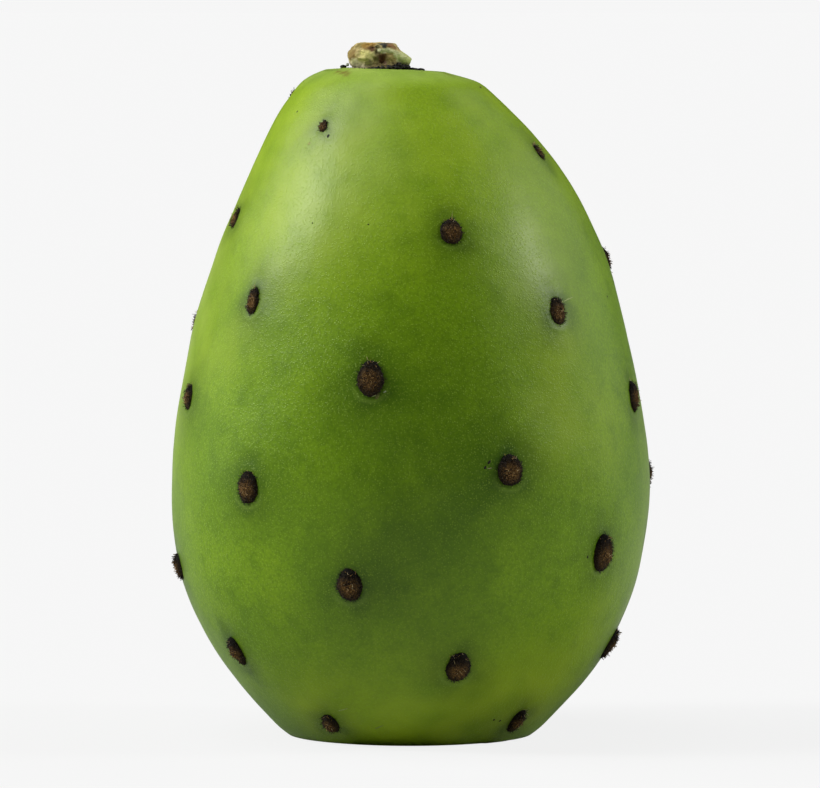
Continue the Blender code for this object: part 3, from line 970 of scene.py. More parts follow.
narrowing = add_node(tree, "ShaderNodeMath", {
    0: spot.outputs["Y"], 1: CUSHION_NARROWING, 2: CUSHION_WIDEST,
}, operation="MULTIPLY_ADD")
narrowed = add_node(tree, "ShaderNodeMath", {0: spot.outputs["X"], 1: narrowing}, operation="MULTIPLY")
level = add_node(tree, "ShaderNodeMath", {0: spot.outputs["Z"]}, operation="ABSOLUTE")
flatter = add_node(tree, "ShaderNodeMath", {0: level, 1: CUSHION_POWER}, operation="POWER")
way = add_node(tree, "ShaderNodeMath", {0: spot.outputs["Z"]}, operation="SIGN")
signed = add_node(tree, "ShaderNodeMath", {0: flatter, 1: way}, operation="MULTIPLY")
cresting = add_node(tree, "ShaderNodeMath", {
    0: spot.outputs["Y"], 1: CUSHION_CREST, 2: 1.0,
}, operation="MULTIPLY_ADD")
crested = add_node(tree, "ShaderNodeMath", {0: signed, 1: cresting}, operation="MULTIPLY")
shaped_spot = add_node(tree, "ShaderNodeCombineXYZ", {"X": narrowed, "Y": spot.outputs["Y"], "Z": crested})
shaped = add_node(tree, "GeometryNodeSetPosition", {"Geometry": geometry, "Position": shaped_spot})
geometry = plant_on_points(tree, given["Geometry"], shaped)
for size_name, height_name in (("Tuft size", "Tuft height"), ("Grain size", "Grain height")):
    geometry = roughen(tree, geometry, given[size_name], given[height_name], given["Seed"])
end_tree(tree, geometry, given)

felt = run_tree("areole_felt", cushion_points, tree, {
    "Columns": 56, "Rings": 30, "Tuft size": 0.9 * MM, "Tuft height": 0.5 * MM,
    "Grain size": 0.30 * MM, "Grain height": 0.42 * MM, "Seed": 3.0, "Material": felt_material,
})
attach(felt, "root")
print("felted cushions:", triangles(felt), "triangles")

# %% [markdown]
# ## Bristles and wool
#
# The cushions hold broken bristles, pale as straw, in a thicker mat of brown wool, and a few longer hairs
# lean out over the upper edge. Points scattered over the tops of the cushions each carry one short curve.
# The curves are real before they are bent by noise, so each bends its own way, and a three-sided tube
# makes each of them solid with few faces. Near the rim and the upper end of a cushion they are darker. One
# tree makes both kinds, with other numbers.

# %% Straw-coloured bristles and wool, dried on the plant
BRISTLE_ROUGHNESS = 0.7
BRISTLE_TONES = ((0.0, "#120c06"), (0.40, "#3d2a14"), (0.65, "#7a582b"), (0.88, "#b48b4e"), (1.0, "#d9ca9a"))

bristle_material, tree, shader = new_material("straw bristles and brown wool, dried", BRISTLE_ROUGHNESS)[:3]
tone = add_node(tree, "ShaderNodeAttribute", attribute_name="tone").outputs["Fac"]
tones = add_node(tree, "ShaderNodeValToRGB", {"Fac": tone})
while len(tones.color_ramp.elements) < len(BRISTLE_TONES):
    tones.color_ramp.elements.new(0.5)
for element, (position, code) in zip(tones.color_ramp.elements, BRISTLE_TONES):
    element.position = position
    element.color = linear_colour(code)
tree.links.new(tones.outputs[0], shader.inputs["Base Color"])
print("bristle tones:", len(BRISTLE_TONES))

# %% The bristle tree
# Bristles grow above this share of a cushion's half height
DOME_START = 0.25
# A bristle starts below the felt by a share of its length, and its tip keeps a share of its thickness
BRISTLE_ROOT = -0.2
BRISTLE_TIP = 0.45
CURL_SIZE = 0.35
# Where a bristle starts to darken towards the rim and the upper end, and where it is darkest
BRISTLE_DARKENING = {"rim": (0.35, 0.85), "upper": (0.15, 0.65)}

tree, given = start_tree("bristles", {
    "Per square mm": "Float", "Lowest part": "Float", "Highest part": "Float", "Shortest": "Float",
    "Longest": "Float", "Thickness": "Float", "Lean": "Float", "Curl": "Float",
    "Darkest": "Float", "Palest": "Float", "Rim tone": "Float", "Seed": "Int",
})
felt_shares = {
    name: add_node(tree, "GeometryNodeInputNamedAttribute", {"Name": name})
    for name in ("top", "upper", "rim")
}
chosen = add_node(tree, "FunctionNodeCompare", {0: felt_shares["top"], 1: DOME_START},
                  operation="GREATER_THAN")
for part, operation in ((given["Lowest part"], "GREATER_THAN"), (given["Highest part"], "LESS_THAN")):
    within = add_node(tree, "FunctionNodeCompare", {0: felt_shares["upper"], 1: part}, operation=operation)
    chosen = add_node(tree, "FunctionNodeBooleanMath", {0: chosen, 1: within})
density = add_node(tree, "ShaderNodeMath", {0: given["Per square mm"], 1: 1 / MM ** 2}, operation="MULTIPLY")
scattered = add_node(tree, "GeometryNodeDistributePointsOnFaces", {
    "Mesh": given["Geometry"], "Selection": chosen, "Density": density, "Seed": given["Seed"],
})
straight = add_node(tree, "GeometryNodeCurvePrimitiveLine", {
    "Start": (0.0, 0.0, BRISTLE_ROOT), "End": (0.0, 0.0, 1.0),
})
jointed = add_node(tree, "GeometryNodeResampleCurve", {"Curve": straight, "Count": 4})
least_lean = add_node(tree, "ShaderNodeMath", {0: given["Lean"], 1: -1.0}, operation="MULTIPLY")
tilt_range = [add_node(tree, "ShaderNodeCombineXYZ", {"X": s, "Y": s}) for s in (least_lean, given["Lean"])]
tilt = add_node(tree, "FunctionNodeRandomValue", {0: tilt_range[0], 1: tilt_range[1], "Seed": given["Seed"]},
                data_type="FLOAT_VECTOR")
tilt_turn = add_node(tree, "FunctionNodeEulerToRotation", {0: tilt})
tilted_turn = add_node(tree, "FunctionNodeRotateRotation", {
    0: scattered.outputs["Rotation"], 1: tilt_turn,
}, rotation_space="LOCAL")
lengths = add_node(tree, "FunctionNodeRandomValue", {
    2: given["Shortest"], 3: given["Longest"], "Seed": given["Seed"],
}, data_type="FLOAT")
planted = add_node(tree, "GeometryNodeInstanceOnPoints", {
    "Points": scattered.outputs["Points"], "Instance": jointed,
    "Rotation": tilted_turn, "Scale": lengths.outputs[1],
})
shade = add_node(tree, "FunctionNodeRandomValue", {
    2: given["Darkest"], 3: given["Palest"], "Seed": given["Seed"],
}, data_type="FLOAT").outputs[1]
for name, (start, full) in BRISTLE_DARKENING.items():
    fading = add_node(tree, "ShaderNodeMapRange", {
        0: felt_shares[name], 1: start, 2: full, 3: 1.0, 4: given["Rim tone"],
    })
    shade = add_node(tree, "ShaderNodeMath", {0: shade, 1: fading}, operation="MULTIPLY")
toned = add_node(tree, "GeometryNodeStoreNamedAttribute", {
    "Geometry": planted, "Name": "tone", "Value": shade,
}, domain="INSTANCE")
real = add_node(tree, "GeometryNodeRealizeInstances", {"Geometry": toned})
along = add_node(tree, "GeometryNodeSplineParameter").outputs["Factor"]
swirl = add_node(tree, "ShaderNodeTexNoise", {
    "Vector": add_node(tree, "GeometryNodeInputPosition"), "Scale": 1 / (CURL_SIZE * MM),
})
centred = add_node(tree, "ShaderNodeVectorMath", {0: swirl.outputs["Color"], 1: (0.5, 0.5, 0.5)},
                   operation="SUBTRACT")
curl = add_node(tree, "ShaderNodeMath", {0: along, 1: given["Curl"]}, operation="MULTIPLY")
bend = add_node(tree, "ShaderNodeVectorMath", {0: centred, "Scale": curl}, operation="SCALE")
curled = add_node(tree, "GeometryNodeSetPosition", {"Geometry": real, "Offset": bend})
tapering = add_node(tree, "ShaderNodeMapRange", {0: along, 1: 0.0, 2: 1.0, 3: 1.0, 4: BRISTLE_TIP})
tapered = add_node(tree, "GeometryNodeSetCurveRadius", {"Curve": curled, "Radius": tapering})
half = add_node(tree, "ShaderNodeMath", {0: given["Thickness"], 1: 0.5}, operation="MULTIPLY")
section = add_node(tree, "GeometryNodeCurvePrimitiveCircle", {"Resolution": 3, "Radius": half})
tube = add_node(tree, "GeometryNodeCurveToMesh", {
    "Curve": tapered, "Profile Curve": section, "Fill Caps": True,
})
end_tree(tree, tube, given)
print("bristle tree:", len(tree.nodes), "nodes")

# %% Growing the bristles and the hairs
wool = run_tree("areole_bristles", felt.data.copy(), tree, {
    "Per square mm": 17.0, "Lowest part": -1.1, "Highest part": 1.1, "Shortest": 0.14 * MM,
    "Longest": 0.44 * MM, "Thickness": 0.060 * MM, "Lean": 1.15, "Curl": 0.35 * MM,
    "Darkest": 0.1, "Palest": 1.0, "Rim tone": 0.30, "Seed": 5, "Material": bristle_material,
})
hairs = run_tree("areole_hairs", felt.data.copy(), tree, {
    "Per square mm": 6.0, "Lowest part": 0.66, "Highest part": 1.1, "Shortest": 0.25 * MM,
    "Longest": 0.60 * MM, "Thickness": 0.045 * MM, "Lean": 0.9, "Curl": 0.6 * MM,
    "Darkest": 0.75, "Palest": 1.0, "Rim tone": 1.0, "Seed": 9, "Material": bristle_material,
})
for piece in (wool, hairs):
    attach(piece, "root")
    print(piece.name, triangles(piece), "triangles")

# %% [markdown]
# ## The stem stub
#
# The stub is what is left of the joint with the pad: a knob of dried tissue with corky lobes, pits and
# stains. It starts as a turned knob, as in the CAD source, with the same lobes and pits pushed out and in
# along its surface. More pits and a ridged noise then make it craggy. Its stains are blended at each
# point from a few colours, each with a place on the knob and a reach, and one brown stain on the left also
# carries painted shade. The pits are darkened by their depth, as painted shade.

# %% Turned knob with lobes and pits
SOCKET_FLOOR = 77.6
STUB_GAP = 0.3
NECK_RADIUS = 2.9
NECK_BEVEL = 0.4
NECK_TOP = 79.7
NECK_MIDDLE = 79.0
KNOB_STEPS = 14
STUB_OUTLINE = (
    (0.0, 83.2), (1.7, 83.3), (2.5, 83.0), (3.0, 82.4), (3.2, 81.8), (3.15, 81.3), (3.0, 80.8), (2.9, 80.3),
)
# Lobes and pits of the stub: azimuth in degrees, height in mm, reach in mm, how far out in mm
STUB_LUMPS = (
    (-85.0, 82.2, 1.5, 0.35),
    (75.0, 81.3, 0.8, 0.40),
    (160.0, 82.4, 1.5, 0.45),
    (8.0, 81.4, 0.9, -0.75),
    (-25.0, 82.8, 0.9, -0.45),
    (120.0, 82.6, 0.9, -0.40),
    (-140.0, 81.8, 0.9, -0.45),
)
# Finer lobes, grooves and pits that only this finer stub has
FINE_LUMPS = (
    (8.0, 81.4, 0.9, 0.30),
    (-35.0, 81.9, 0.90, 0.22),
    (0.0, 83.0, 0.28, -0.30),
    (-1.0, 82.4, 0.28, -0.30),
    (-2.0, 81.8, 0.28, -0.25),
    (-16.0, 82.6, 0.30, -0.28),
    (24.0, 83.1, 0.45, 0.22),
    (16.0, 82.3, 0.26, 0.18),
    (34.0, 82.1, 0.30, 0.18),
    (13.0, 81.3, 0.40, -0.38),
    (72.0, 81.3, 0.62, 0.42),
    (84.0, 82.3, 0.55, -0.45),
    (78.0, 80.6, 0.60, 0.42),
    (-80.0, 81.2, 0.70, 0.15),
    (-55.0, 80.7, 0.45, 0.15),
    (78.0, 82.9, 0.60, -0.45),
    (-78.0, 83.0, 0.60, -0.40),
)
STUB_COLUMNS = 150

foot = SOCKET_FLOOR + STUB_GAP
knob = np.array(spline(STUB_OUTLINE, KNOB_STEPS))
neck = np.array([(NECK_RADIUS, NECK_TOP), (NECK_RADIUS, NECK_MIDDLE), (NECK_RADIUS, foot + NECK_BEVEL),
                 (NECK_RADIUS - NECK_BEVEL, foot), (0.0, foot)])
stub_outline = np.vstack([knob, neck])
angles = np.linspace(0.0, math.tau, STUB_COLUMNS, endpoint=False)
rings = [np.stack([r * np.sin(angles), -r * np.cos(angles), np.full(STUB_COLUMNS, h)], axis=1)
         for r, h in stub_outline[1:-1]]
knob_points = np.vstack([[[0.0, 0.0, stub_outline[0][1]]], *rings, [[0.0, 0.0, foot]]])
print("points of the stub:", len(knob_points))


def ring_faces(ring_count, columns):
    """Lists the faces of rings between two poles, with the first pole first and outward faces."""
    faces = []
    last = 1 + ring_count * columns
    for k in range(columns):
        after = (k + 1) % columns
        faces.append((0, 1 + k, 1 + after))
        for ring in range(ring_count - 1):
            low = 1 + ring * columns
            high = low + columns
            faces.append((low + k, high + k, high + after, low + after))
        end = 1 + (ring_count - 1) * columns
        faces.append((end + k, last, end + after))
    return faces


# %% Crags of the stub
LUMP_RADIUS = 3.0
STUB_CROWN = 82.4
# Above this height in mm the knob keeps only a share of its height
FLATTENED_FROM = 82.95
FLATTENED_SHARE = 0.55
# Unevenness of the whole knob: size in mm, height in mm, seed
KNOB_WAVES = ((0.9, 0.18, 0), (0.45, 0.12, 12), (0.2, 0.06, 13))
RIDGE_SIZE = 1.1
RIDGE_HEIGHT = 0.18
RIDGE_SEED = 11
# How steeply the push turns from outwards to upwards on the crown
CROWN_LIFT = 1.5
CRAGS_FADE = (80.0, 80.6)


def lump_centre(azimuth, height, radius=LUMP_RADIUS):
    """Gives a place on the knob from its azimuth in degrees and its height in mm."""
    angle = math.radians(azimuth)
    return np.array([radius * math.sin(angle), -radius * math.cos(angle), height])


push_way = knob_points * (1.0, 1.0, 0.0)
push_way[:, 2] = CROWN_LIFT * np.maximum(knob_points[:, 2] - STUB_CROWN, 0.0)
push_way /= np.maximum(np.linalg.norm(push_way, axis=1), 1e-6)[:, None]
push = sum(amount * noise_at(knob_points, size, seed) for size, amount, seed in KNOB_WAVES)
for azimuth, height, reach, amount in STUB_LUMPS + FINE_LUMPS:
    gap = np.linalg.norm(knob_points - lump_centre(azimuth, height), axis=1)
    push += amount * np.exp(-0.5 * (gap / reach) ** 2)
ridges = 1.0 - 2.0 * np.abs(noise_at(knob_points, RIDGE_SIZE, RIDGE_SEED))
push += RIDGE_HEIGHT * (ridges - 0.5)
crown = ramp(*CRAGS_FADE, knob_points[:, 2])
shaped_knob = knob_points + push_way * (push * crown)[:, None]
over = np.maximum(shaped_knob[:, 2] - FLATTENED_FROM, 0.0)
shaped_knob[:, 2] -= (1.0 - FLATTENED_SHARE) * over * ramp(0.0, 0.5, over)
shaped_knob[:, 0] += STUB_OFFSET
print("stub from", shaped_knob.min(axis=0).round(2), "to", shaped_knob.max(axis=0).round(2), "mm")

# %% Stains of the stub
# Stains, one of them a brown that also carries painted shade on the left: azimuth in degrees, height in
# mm, reach in mm, colour
STUB_STAINS = (
    (-32.0, 83.25, 0.60, "#a8842f"),
    (-36.0, 83.0, 0.42, "#a98430"),
    (-18.0, 83.1, 0.38, "#ab822d"),
    (-52.0, 82.9, 0.42, "#8a7833"),
    (-16.0, 82.6, 0.34, "#6b4112"),
    (-26.0, 82.5, 0.30, "#8a6424"),
    (-27.0, 81.9, 0.55, "#f0e892"),
    (-14.0, 81.7, 0.42, "#ebe392"),
    (-32.0, 81.2, 0.50, "#e6dc90"),
    # A brown stain with painted shade on the left side of the knob
    (-62.0, 81.7, 0.55, "#8a7030"),
    (-85.0, 82.0, 0.70, "#98823f"),
    (-55.0, 80.8, 0.55, "#f3e9b8"),
    (-80.0, 80.9, 0.60, "#f0e3b0"),
    (-20.0, 80.8, 0.42, "#cdc288"),
    (-38.0, 80.6, 0.45, "#efe4b4"),
    (0.0, 82.8, 0.26, "#5d5a2a"),
    (-1.0, 82.1, 0.28, "#66622f"),
    (-1.0, 81.3, 0.32, "#7c733a"),
    (21.0, 83.35, 0.62, "#05161c"),
    (21.0, 83.1, 0.46, "#05161c"),
    (18.0, 82.75, 0.26, "#0a2027"),
    (46.0, 83.2, 0.40, "#75552f"),
    (33.0, 82.9, 0.30, "#8f6236"),
    (44.0, 82.8, 0.34, "#96703e"),
    (6.0, 82.3, 0.26, "#eef0b8"),
    (17.0, 82.3, 0.30, "#eff0ba"),
    (29.0, 82.2, 0.30, "#e8ebb2"),
    (44.0, 82.0, 0.38, "#dde3a2"),
    (13.0, 81.5, 0.42, "#6e4222"),
    (13.0, 81.15, 0.36, "#a06338"),
    (18.0, 80.9, 0.24, "#c9a184"),
    (30.0, 81.5, 0.45, "#c4ae6c"),
    (55.0, 81.4, 0.50, "#e0e6a2"),
    (75.0, 81.2, 0.80, "#cdd688"),
    (130.0, 82.0, 1.30, "#9c8a4c"),
    (180.0, 81.6, 1.30, "#c4b77b"),
    (-130.0, 82.0, 1.30, "#a1884a"),
)
# Radius of the knob by height, both in mm, on which the stains lie
STAIN_HEIGHTS = (80.3, 81.8, 82.4, 83.0, 83.3)
STAIN_RADII = (2.9, 3.2, 3.0, 2.5, 1.8)
BASE_STAIN = "#c6b474"
BASE_WEIGHT = 0.05
STAIN_WARP_SIZE = 0.6
STAIN_RAGGEDNESS = 0.22
WARP_SEEDS = (21, 22, 23)
# How much painted shade darkens a pit for each mm of its depth, and how much of that is taken off again
PIT_GAIN = 1.6
PIT_START = 0.15

weights = np.full(len(knob_points), BASE_WEIGHT)
stain = np.outer(weights, linear_colour(BASE_STAIN))
warp = np.stack([noise_at(knob_points, STAIN_WARP_SIZE, seed) for seed in WARP_SEEDS], axis=1)
ragged = knob_points + STAIN_RAGGEDNESS * warp
for azimuth, height, reach, code in STUB_STAINS:
    radius = float(np.interp(height, STAIN_HEIGHTS, STAIN_RADII))
    gap = np.linalg.norm(ragged - lump_centre(azimuth, height, radius), axis=1)
    weight = np.exp(-(gap / reach) ** 4)
    stain += np.outer(weight, linear_colour(code))
    weights += weight
stain /= weights[:, None]
stub_mesh = blank_mesh("dried_stub", shaped_knob, faces=ring_faces(len(rings), STUB_COLUMNS))
write_values(stub_mesh, "stain", stain, "FLOAT_COLOR", "color")
write_values(stub_mesh, "pit_shade", np.clip(-push * PIT_GAIN - PIT_START, 0.0, 1.0) * crown)
print("stains:", len(STUB_STAINS))

# %% Dried corky tissue, weathered
STUB_ROUGHNESS = 0.78
CORK_GRAIN_SIZE = 0.5

stub_material, tree, shader, place = new_material("dried corky stem tissue, weathered", STUB_ROUGHNESS)
stain_colour = add_node(tree, "ShaderNodeAttribute", attribute_name="stain").outputs["Color"]
pit_shade = add_node(tree, "ShaderNodeAttribute", attribute_name="pit_shade").outputs["Fac"]
cork_grain, cork_mask = noise_mask(tree, place, CORK_GRAIN_SIZE, detail=5.0, low=0.50, high=0.72)
# The cork grain, and painted shade in the pits, darker the deeper they are
STUB_LAYERS = ((cork_mask, 0.30, "#6b4f25"), (pit_shade, 0.40, "#2c1b0d"))
STUB_BUMPS = ((cork_grain, 0.9, 0.15),)
finish_material(tree, shader, stain_colour, STUB_LAYERS, STUB_BUMPS)

stub = add_object("dried_stub", stub_mesh)
stub_mesh.materials.append(stub_material)
stub_mesh.shade_smooth()
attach(stub, "root")
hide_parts("stem_stub")
print("stub:", triangles(stub), "triangles")

# %% [markdown]
# ## Crust round the stub and small marks
#
# Sap dried to a black crumbly crust where the stub meets the fruit, most of it on the right. The skin also
# has a few small marks: dark dried specks, pale scratches that have healed, and a dried leaf scale under
# one areole. All of them are small lumps, so one tree serves for both. It puts a ball on each point,
# turned, sized and coloured as the point says, and roughens it.

# %% The crumb tree
tree, given = start_tree("crumbs", {"Fineness": "Int", "Rough size": "Float", "Rough height": "Float"})
ball = add_node(tree, "GeometryNodeMeshIcoSphere", {"Radius": 1.0, "Subdivisions": given["Fineness"]})
planted = plant_on_points(tree, given["Geometry"], ball)
end_tree(tree, roughen(tree, planted, given["Rough size"], given["Rough height"]), given)
crumb_tree = tree


def crumb_mesh(name, crumbs):
    """Makes points for the crumb tree from (place, turn, size in mm, colour code) rows."""
    places, turns, sizes, codes = zip(*crumbs)
    mesh = blank_mesh(name, places)
    write_values(mesh, "turn", turns, "FLOAT_VECTOR", "vector")
    write_values(mesh, "size", np.array(sizes) * MM, "FLOAT_VECTOR", "vector")
    write_values(mesh, "stain", [linear_colour(code) for code in codes], "FLOAT_COLOR", "color")
    return mesh


# How dark and how pale the grain makes a crumb's own colour
CRUMB_SHADES = (0.65, 1.35)


def crumb_material(name, roughness, grain_size):
    """Makes a material that takes the colour of each crumb and breaks it up with a fine grain."""
    material, tree, shader, place = new_material(name, roughness)
    own = add_node(tree, "ShaderNodeAttribute", attribute_name="stain").outputs["Color"]
    specks = add_node(tree, "ShaderNodeTexNoise", {"Vector": place, "Scale": 1 / grain_size, "Detail": 3.0})
    darkest, palest = CRUMB_SHADES
    tone = add_node(tree, "ShaderNodeMapRange", {0: specks, 1: 0.35, 2: 0.70, 3: darkest, 4: palest})
    shaded = add_node(tree, "ShaderNodeVectorMath", {0: own, "Scale": tone}, operation="SCALE")
    tree.links.new(shaded.outputs[0], shader.inputs["Base Color"])
    return material


print("crumb tree:", len(crumb_tree.nodes), "nodes")

# %% Black crust, dried sap
CRUST_CRUMBS = 420
CRUST_SEED = 5
# The crust is full at one azimuth and highest at another, both in degrees, and fades within these angles
FULL_AT = 32.0
FULL_FADE = (75.0, 30.0)
PEAK_AT = 40.0
PEAK_FADE = (26.0, 4.0)
# Heights in mm: the lowest crumb, the highest one elsewhere, what fullness adds, and what the peak adds
CRUST_BOTTOM = 79.85
CRUST_TOP = 80.08
FULL_RISE = 0.17
PEAK_RISE = 0.45
# Share of the crumbs that is kept elsewhere
SPARSE_SHARE = 0.50
# Distances from the stub's axis in mm, and how much further the crumbs lie where the crust is full
CRUST_INSIDE = 3.1
CRUST_OUTSIDE = 3.65
FULL_SPREAD = 0.35
# Half widths in mm, what fullness adds, and the length and height as shares of the width
CRUMB_SIZES = (0.10, 0.18)
FULL_GROWTH = 0.06
CRUMB_LENGTHS = (0.8, 1.8)
CRUMB_HEIGHTS = (0.5, 1.0)
CRUMB_COLOURS = ("#0d0b06", "#17120a", "#241b0e")

crust_dice = random.Random(CRUST_SEED)
crumbs = []
for k in range(CRUST_CRUMBS):
    azimuth = crust_dice.uniform(-180.0, 180.0)
    fullness = float(ramp(*FULL_FADE, abs(azimuth - FULL_AT)))
    peak = float(ramp(*PEAK_FADE, abs(azimuth - PEAK_AT)))
    if crust_dice.random() > SPARSE_SHARE + (1.0 - SPARSE_SHARE) * fullness:
        continue
    radius = crust_dice.uniform(CRUST_INSIDE, CRUST_OUTSIDE + FULL_SPREAD * fullness)
    height = crust_dice.uniform(CRUST_BOTTOM, CRUST_TOP + FULL_RISE * fullness + PEAK_RISE * peak)
    angle = math.radians(azimuth)
    place = (STUB_OFFSET + radius * math.sin(angle), -radius * math.cos(angle), height)
    turn = tuple(crust_dice.uniform(0.0, math.tau) for _ in range(3))
    half_width = crust_dice.uniform(CRUMB_SIZES[0], CRUMB_SIZES[1] + FULL_GROWTH * fullness)
    half_length = half_width * crust_dice.uniform(*CRUMB_LENGTHS)
    half_height = half_width * crust_dice.uniform(*CRUMB_HEIGHTS)
    crumbs.append((place, turn, (half_width, half_length, half_height), crust_dice.choice(CRUMB_COLOURS)))
# Larger lumps: x, y and z in mm, three half sizes in mm, colour
CRUST_LUMPS = (
    (-8.00, -0.8, 80.36, 0.40, 0.50, 0.22, "#15110a"),
    (-7.50, -1.2, 80.60, 0.20, 0.30, 0.22, "#b9bcae"),
    (0.35, -0.9, 80.05, 0.65, 0.70, 0.20, "#141009"),
    (1.25, -0.6, 79.98, 0.55, 0.60, 0.20, "#17120a"),
    (-0.5, -1.6, 80.30, 0.60, 0.60, 0.32, "#100d07"),
    (-1.6, -2.6, 80.20, 0.55, 0.45, 0.30, "#0e0b06"),
)
LUMP_TURN = (0.0, 0.0, 0.3)
for x, y, z, half_x, half_y, half_z, code in CRUST_LUMPS:
    crumbs.append(((x, y, z), LUMP_TURN, (half_x, half_y, half_z), code))
crust_piece = run_tree("collar_crust", crumb_mesh("crust_points", crumbs), crumb_tree, {
    "Fineness": 2, "Rough size": 0.22 * MM, "Rough height": 0.16 * MM,
    "Material": crumb_material("black sap crust, dried in air", 0.8, 0.12),
})
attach(crust_piece, "root")
print("crust:", len(crumbs), "crumbs,", triangles(crust_piece), "triangles")

# %% Small marks on the skin
# Marks: azimuth in degrees, height in mm, slant in degrees, half length, half width, half thickness, colour
SKIN_MARKS = (
    (-58.4, 75.0, 0.0, 0.16, 0.14, 0.05, "#45571b"),
    (-32.6, 72.2, 20.0, 0.24, 0.18, 0.09, "#1c2410"),
    (-41.9, 71.3, 10.0, 0.24, 0.20, 0.03, "#a6ab58"),
    (-13.2, 62.1, 0.0, 0.10, 0.09, 0.05, "#2c2a12"),
    (-32.0, 62.1, 0.0, 0.12, 0.10, 0.04, "#5f7a24"),
    (47.7, 22.9, 30.0, 0.20, 0.14, 0.07, "#2a2a12"),
    (33.2, 3.3, 0.0, 0.16, 0.16, 0.07, "#33270f"),
    (36.4, 3.1, 40.0, 0.18, 0.14, 0.07, "#1f1a0c"),
    (70.9, 53.1, 0.0, 0.16, 0.14, 0.06, "#3a3a18"),
    (-24.0, 4.8, 70.0, 0.80, 0.09, 0.05, "#9fb35d"),
    (-12.1, 2.6, 60.0, 0.70, 0.08, 0.05, "#93a554"),
    (47.3, 53.0, 75.0, 1.20, 0.07, 0.04, "#b5c47c"),
    (-6.1, 42.8, 60.0, 0.22, 0.10, 0.08, "#9fb083"),
    (-7.9, 42.25, 25.0, 0.45, 0.22, 0.10, "#6f7636"),
    (-8.6, 42.35, 70.0, 0.50, 0.09, 0.09, "#8f9a60"),
    (18.8, 34.6, 45.0, 0.26, 0.15, 0.10, "#1d160c"),
    (17.8, 34.0, 30.0, 0.22, 0.13, 0.09, "#1d160c"),
    (18.9, 33.9, 80.0, 0.34, 0.04, 0.05, "#b7b184"),
    (71.1, 77.9, 80.0, 0.40, 0.14, 0.04, "#6a6a24"),
)
# How deep a mark sits, as a share of its half thickness
MARK_DEPTH = 0.3
# The skin's relief at a mark is the mean of this many points, the nearer ones counting more
NEAREST_POINTS = 4
LEAST_GAP = 0.05


def on_skin(azimuth, height):
    """Gives the place and the three directions of something lying on the finished skin."""
    place = skin_point(azimuth, height)
    around, up, outward_way = skin_frame(azimuth, height)
    gaps = np.linalg.norm(smooth - place, axis=1)
    nearest = np.argsort(gaps)[:NEAREST_POINTS]
    level = np.average(relief[nearest], weights=1.0 / (gaps[nearest] + LEAST_GAP))
    return place + level * outward_way, around, up, outward_way


marks = []
for azimuth, height, slant, half_length, half_width, half_thickness, code in SKIN_MARKS:
    place, around, up, outward_way = on_skin(math.radians(azimuth), height)
    turn = math.radians(slant)
    along = math.cos(turn) * up + math.sin(turn) * around
    across = np.cross(along, outward_way)
    sunk = place - MARK_DEPTH * half_thickness * outward_way
    facing = turn_onto(across, along, outward_way)
    marks.append((sunk, facing, (half_width, half_length, half_thickness), code))
mark_piece = run_tree("skin_marks", crumb_mesh("mark_points", marks), crumb_tree, {
    "Fineness": 3, "Rough size": 0.25 * MM, "Rough height": 0.05 * MM,
    "Material": crumb_material("healed skin specks, callused", 0.9, 0.15),
})
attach(mark_piece, "root")
print("marks:", len(marks), "with", triangles(mark_piece), "triangles")

# %% [markdown]
# ## The floor, the light and the camera
#
# The fruit stands on a plain pale floor in soft studio light. On the left are a key light, one above and
# before it, a high one, and two weaker ones further back. On the right are a side light and a broad one
# a little behind. Hardly any light comes from the front. The camera sees the floor as pale as the
# backdrop, while the fruit gets the softer bounce of a grey floor.

# %% Pale floor
FLOOR_REACH = 800.0
BACKDROP_COLOUR = "#f6f6f6"
# What the camera sees of the floor: a grey that takes a shadow, and a glow that lifts it to the backdrop
SEEN_GREY = "#555555"
SEEN_GLOW = 0.904
# What the light that reaches the fruit sees
BOUNCE_GREY = "#bbbbbb"

bpy.ops.mesh.primitive_plane_add(size=FLOOR_REACH)
floor = bpy.context.object
floor.name = "floor"
floor_material = bpy.data.materials.new("pale matt studio floor, painted")
floor_material.use_nodes = True
tree = floor_material.node_tree
tree.nodes.remove(tree.nodes["Principled BSDF"])
seen = add_node(tree, "ShaderNodeLightPath").outputs["Is Camera Ray"]
pale = add_node(tree, "ShaderNodeBsdfDiffuse", {"Color": linear_colour(SEEN_GREY)})
glow = add_node(tree, "ShaderNodeEmission", {"Color": linear_colour(BACKDROP_COLOUR), "Strength": SEEN_GLOW})
bounce = add_node(tree, "ShaderNodeBsdfDiffuse", {"Color": linear_colour(BOUNCE_GREY)})
both = add_node(tree, "ShaderNodeAddShader", {0: pale, 1: glow})
chosen = add_node(tree, "ShaderNodeMixShader", {0: seen, 1: bounce, 2: both})
tree.links.new(chosen.outputs[0], tree.nodes["Material Output"].inputs["Surface"])
floor.data.materials.append(floor_material)
floor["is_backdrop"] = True
print("the floor is", FLOOR_REACH, "m wide")

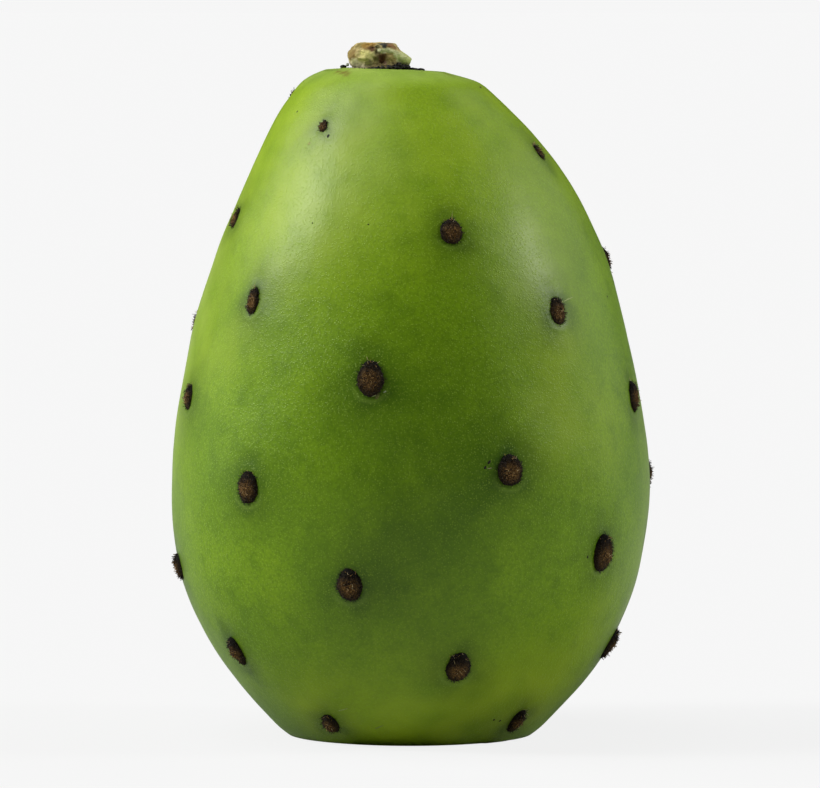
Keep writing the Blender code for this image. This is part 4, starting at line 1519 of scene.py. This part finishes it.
# %% Soft light
# Suns: azimuth, elevation and spread in degrees, strength
LIGHTS = (
    ("key_light", -88.0, 32.0, 14.0, 1.08),
    ("upper_key_light", -78.0, 44.0, 12.0, 0.84),
    ("high_light", -92.0, 72.0, 40.0, 0.92),
    ("rear_left_light", -112.0, 35.0, 26.0, 0.46),
    ("low_light", -112.0, 12.0, 30.0, 0.22),
    ("side_light", 84.0, 32.0, 14.0, 0.95),
    ("back_light", 112.0, 26.0, 56.0, 0.70),
)
WORLD_STRENGTH = 0.02

for name, azimuth, elevation, spread, strength in LIGHTS:
    lamp = bpy.data.lights.new(name, "SUN")
    lamp.angle = math.radians(spread)
    lamp.energy = strength
    holder = add_object(name, lamp)
    a, e = math.radians(azimuth), math.radians(elevation)
    towards = Vector((math.sin(a) * math.cos(e), -math.cos(a) * math.cos(e), math.sin(e)))
    holder.rotation_euler = towards.to_track_quat("Z", "Y").to_euler()
    holder.location = towards

world = bpy.data.worlds.new("studio")
bpy.context.scene.world = world
world.use_nodes = True
tree = world.node_tree
seen = add_node(tree, "ShaderNodeLightPath").outputs["Is Camera Ray"]
fill = tree.nodes["Background"]
fill.inputs["Color"].default_value = linear_colour("#ffffff")
fill.inputs["Strength"].default_value = WORLD_STRENGTH
backdrop = add_node(tree, "ShaderNodeBackground", {"Color": linear_colour(BACKDROP_COLOUR), "Strength": 1.0})
mixed = add_node(tree, "ShaderNodeMixShader", {0: seen, 1: fill, 2: backdrop})
tree.links.new(mixed.outputs[0], tree.nodes["World Output"].inputs["Surface"])
bpy.context.scene.view_settings.view_transform = "Standard"
print("lights:", [light[0] for light in LIGHTS])

# %% Camera
CAMERA_DISTANCE = 0.8
CAMERA_ELEVATION = 3.3
CAMERA_LENS = 291.86
SENSOR_WIDTH = 36.0
AIM_HEIGHT = 0.041

camera = add_object("camera", bpy.data.cameras.new("camera"))
camera.data.lens = CAMERA_LENS
camera.data.sensor_width = SENSOR_WIDTH
camera.data.sensor_fit = "HORIZONTAL"
tip = math.radians(CAMERA_ELEVATION)
camera.location = (0.0, -CAMERA_DISTANCE * math.cos(tip), AIM_HEIGHT + CAMERA_DISTANCE * math.sin(tip))
camera.rotation_euler = (math.radians(90.0) - tip, 0.0, 0.0)
bpy.context.scene.camera = camera
print("the camera is", CAMERA_DISTANCE, "m away, with a lens of", CAMERA_LENS, "mm")

# %% Sizes and the end
low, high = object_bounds()
print("visual size in mm:", [round((b - a) / MM, 2) for a, b in zip(low, high)])
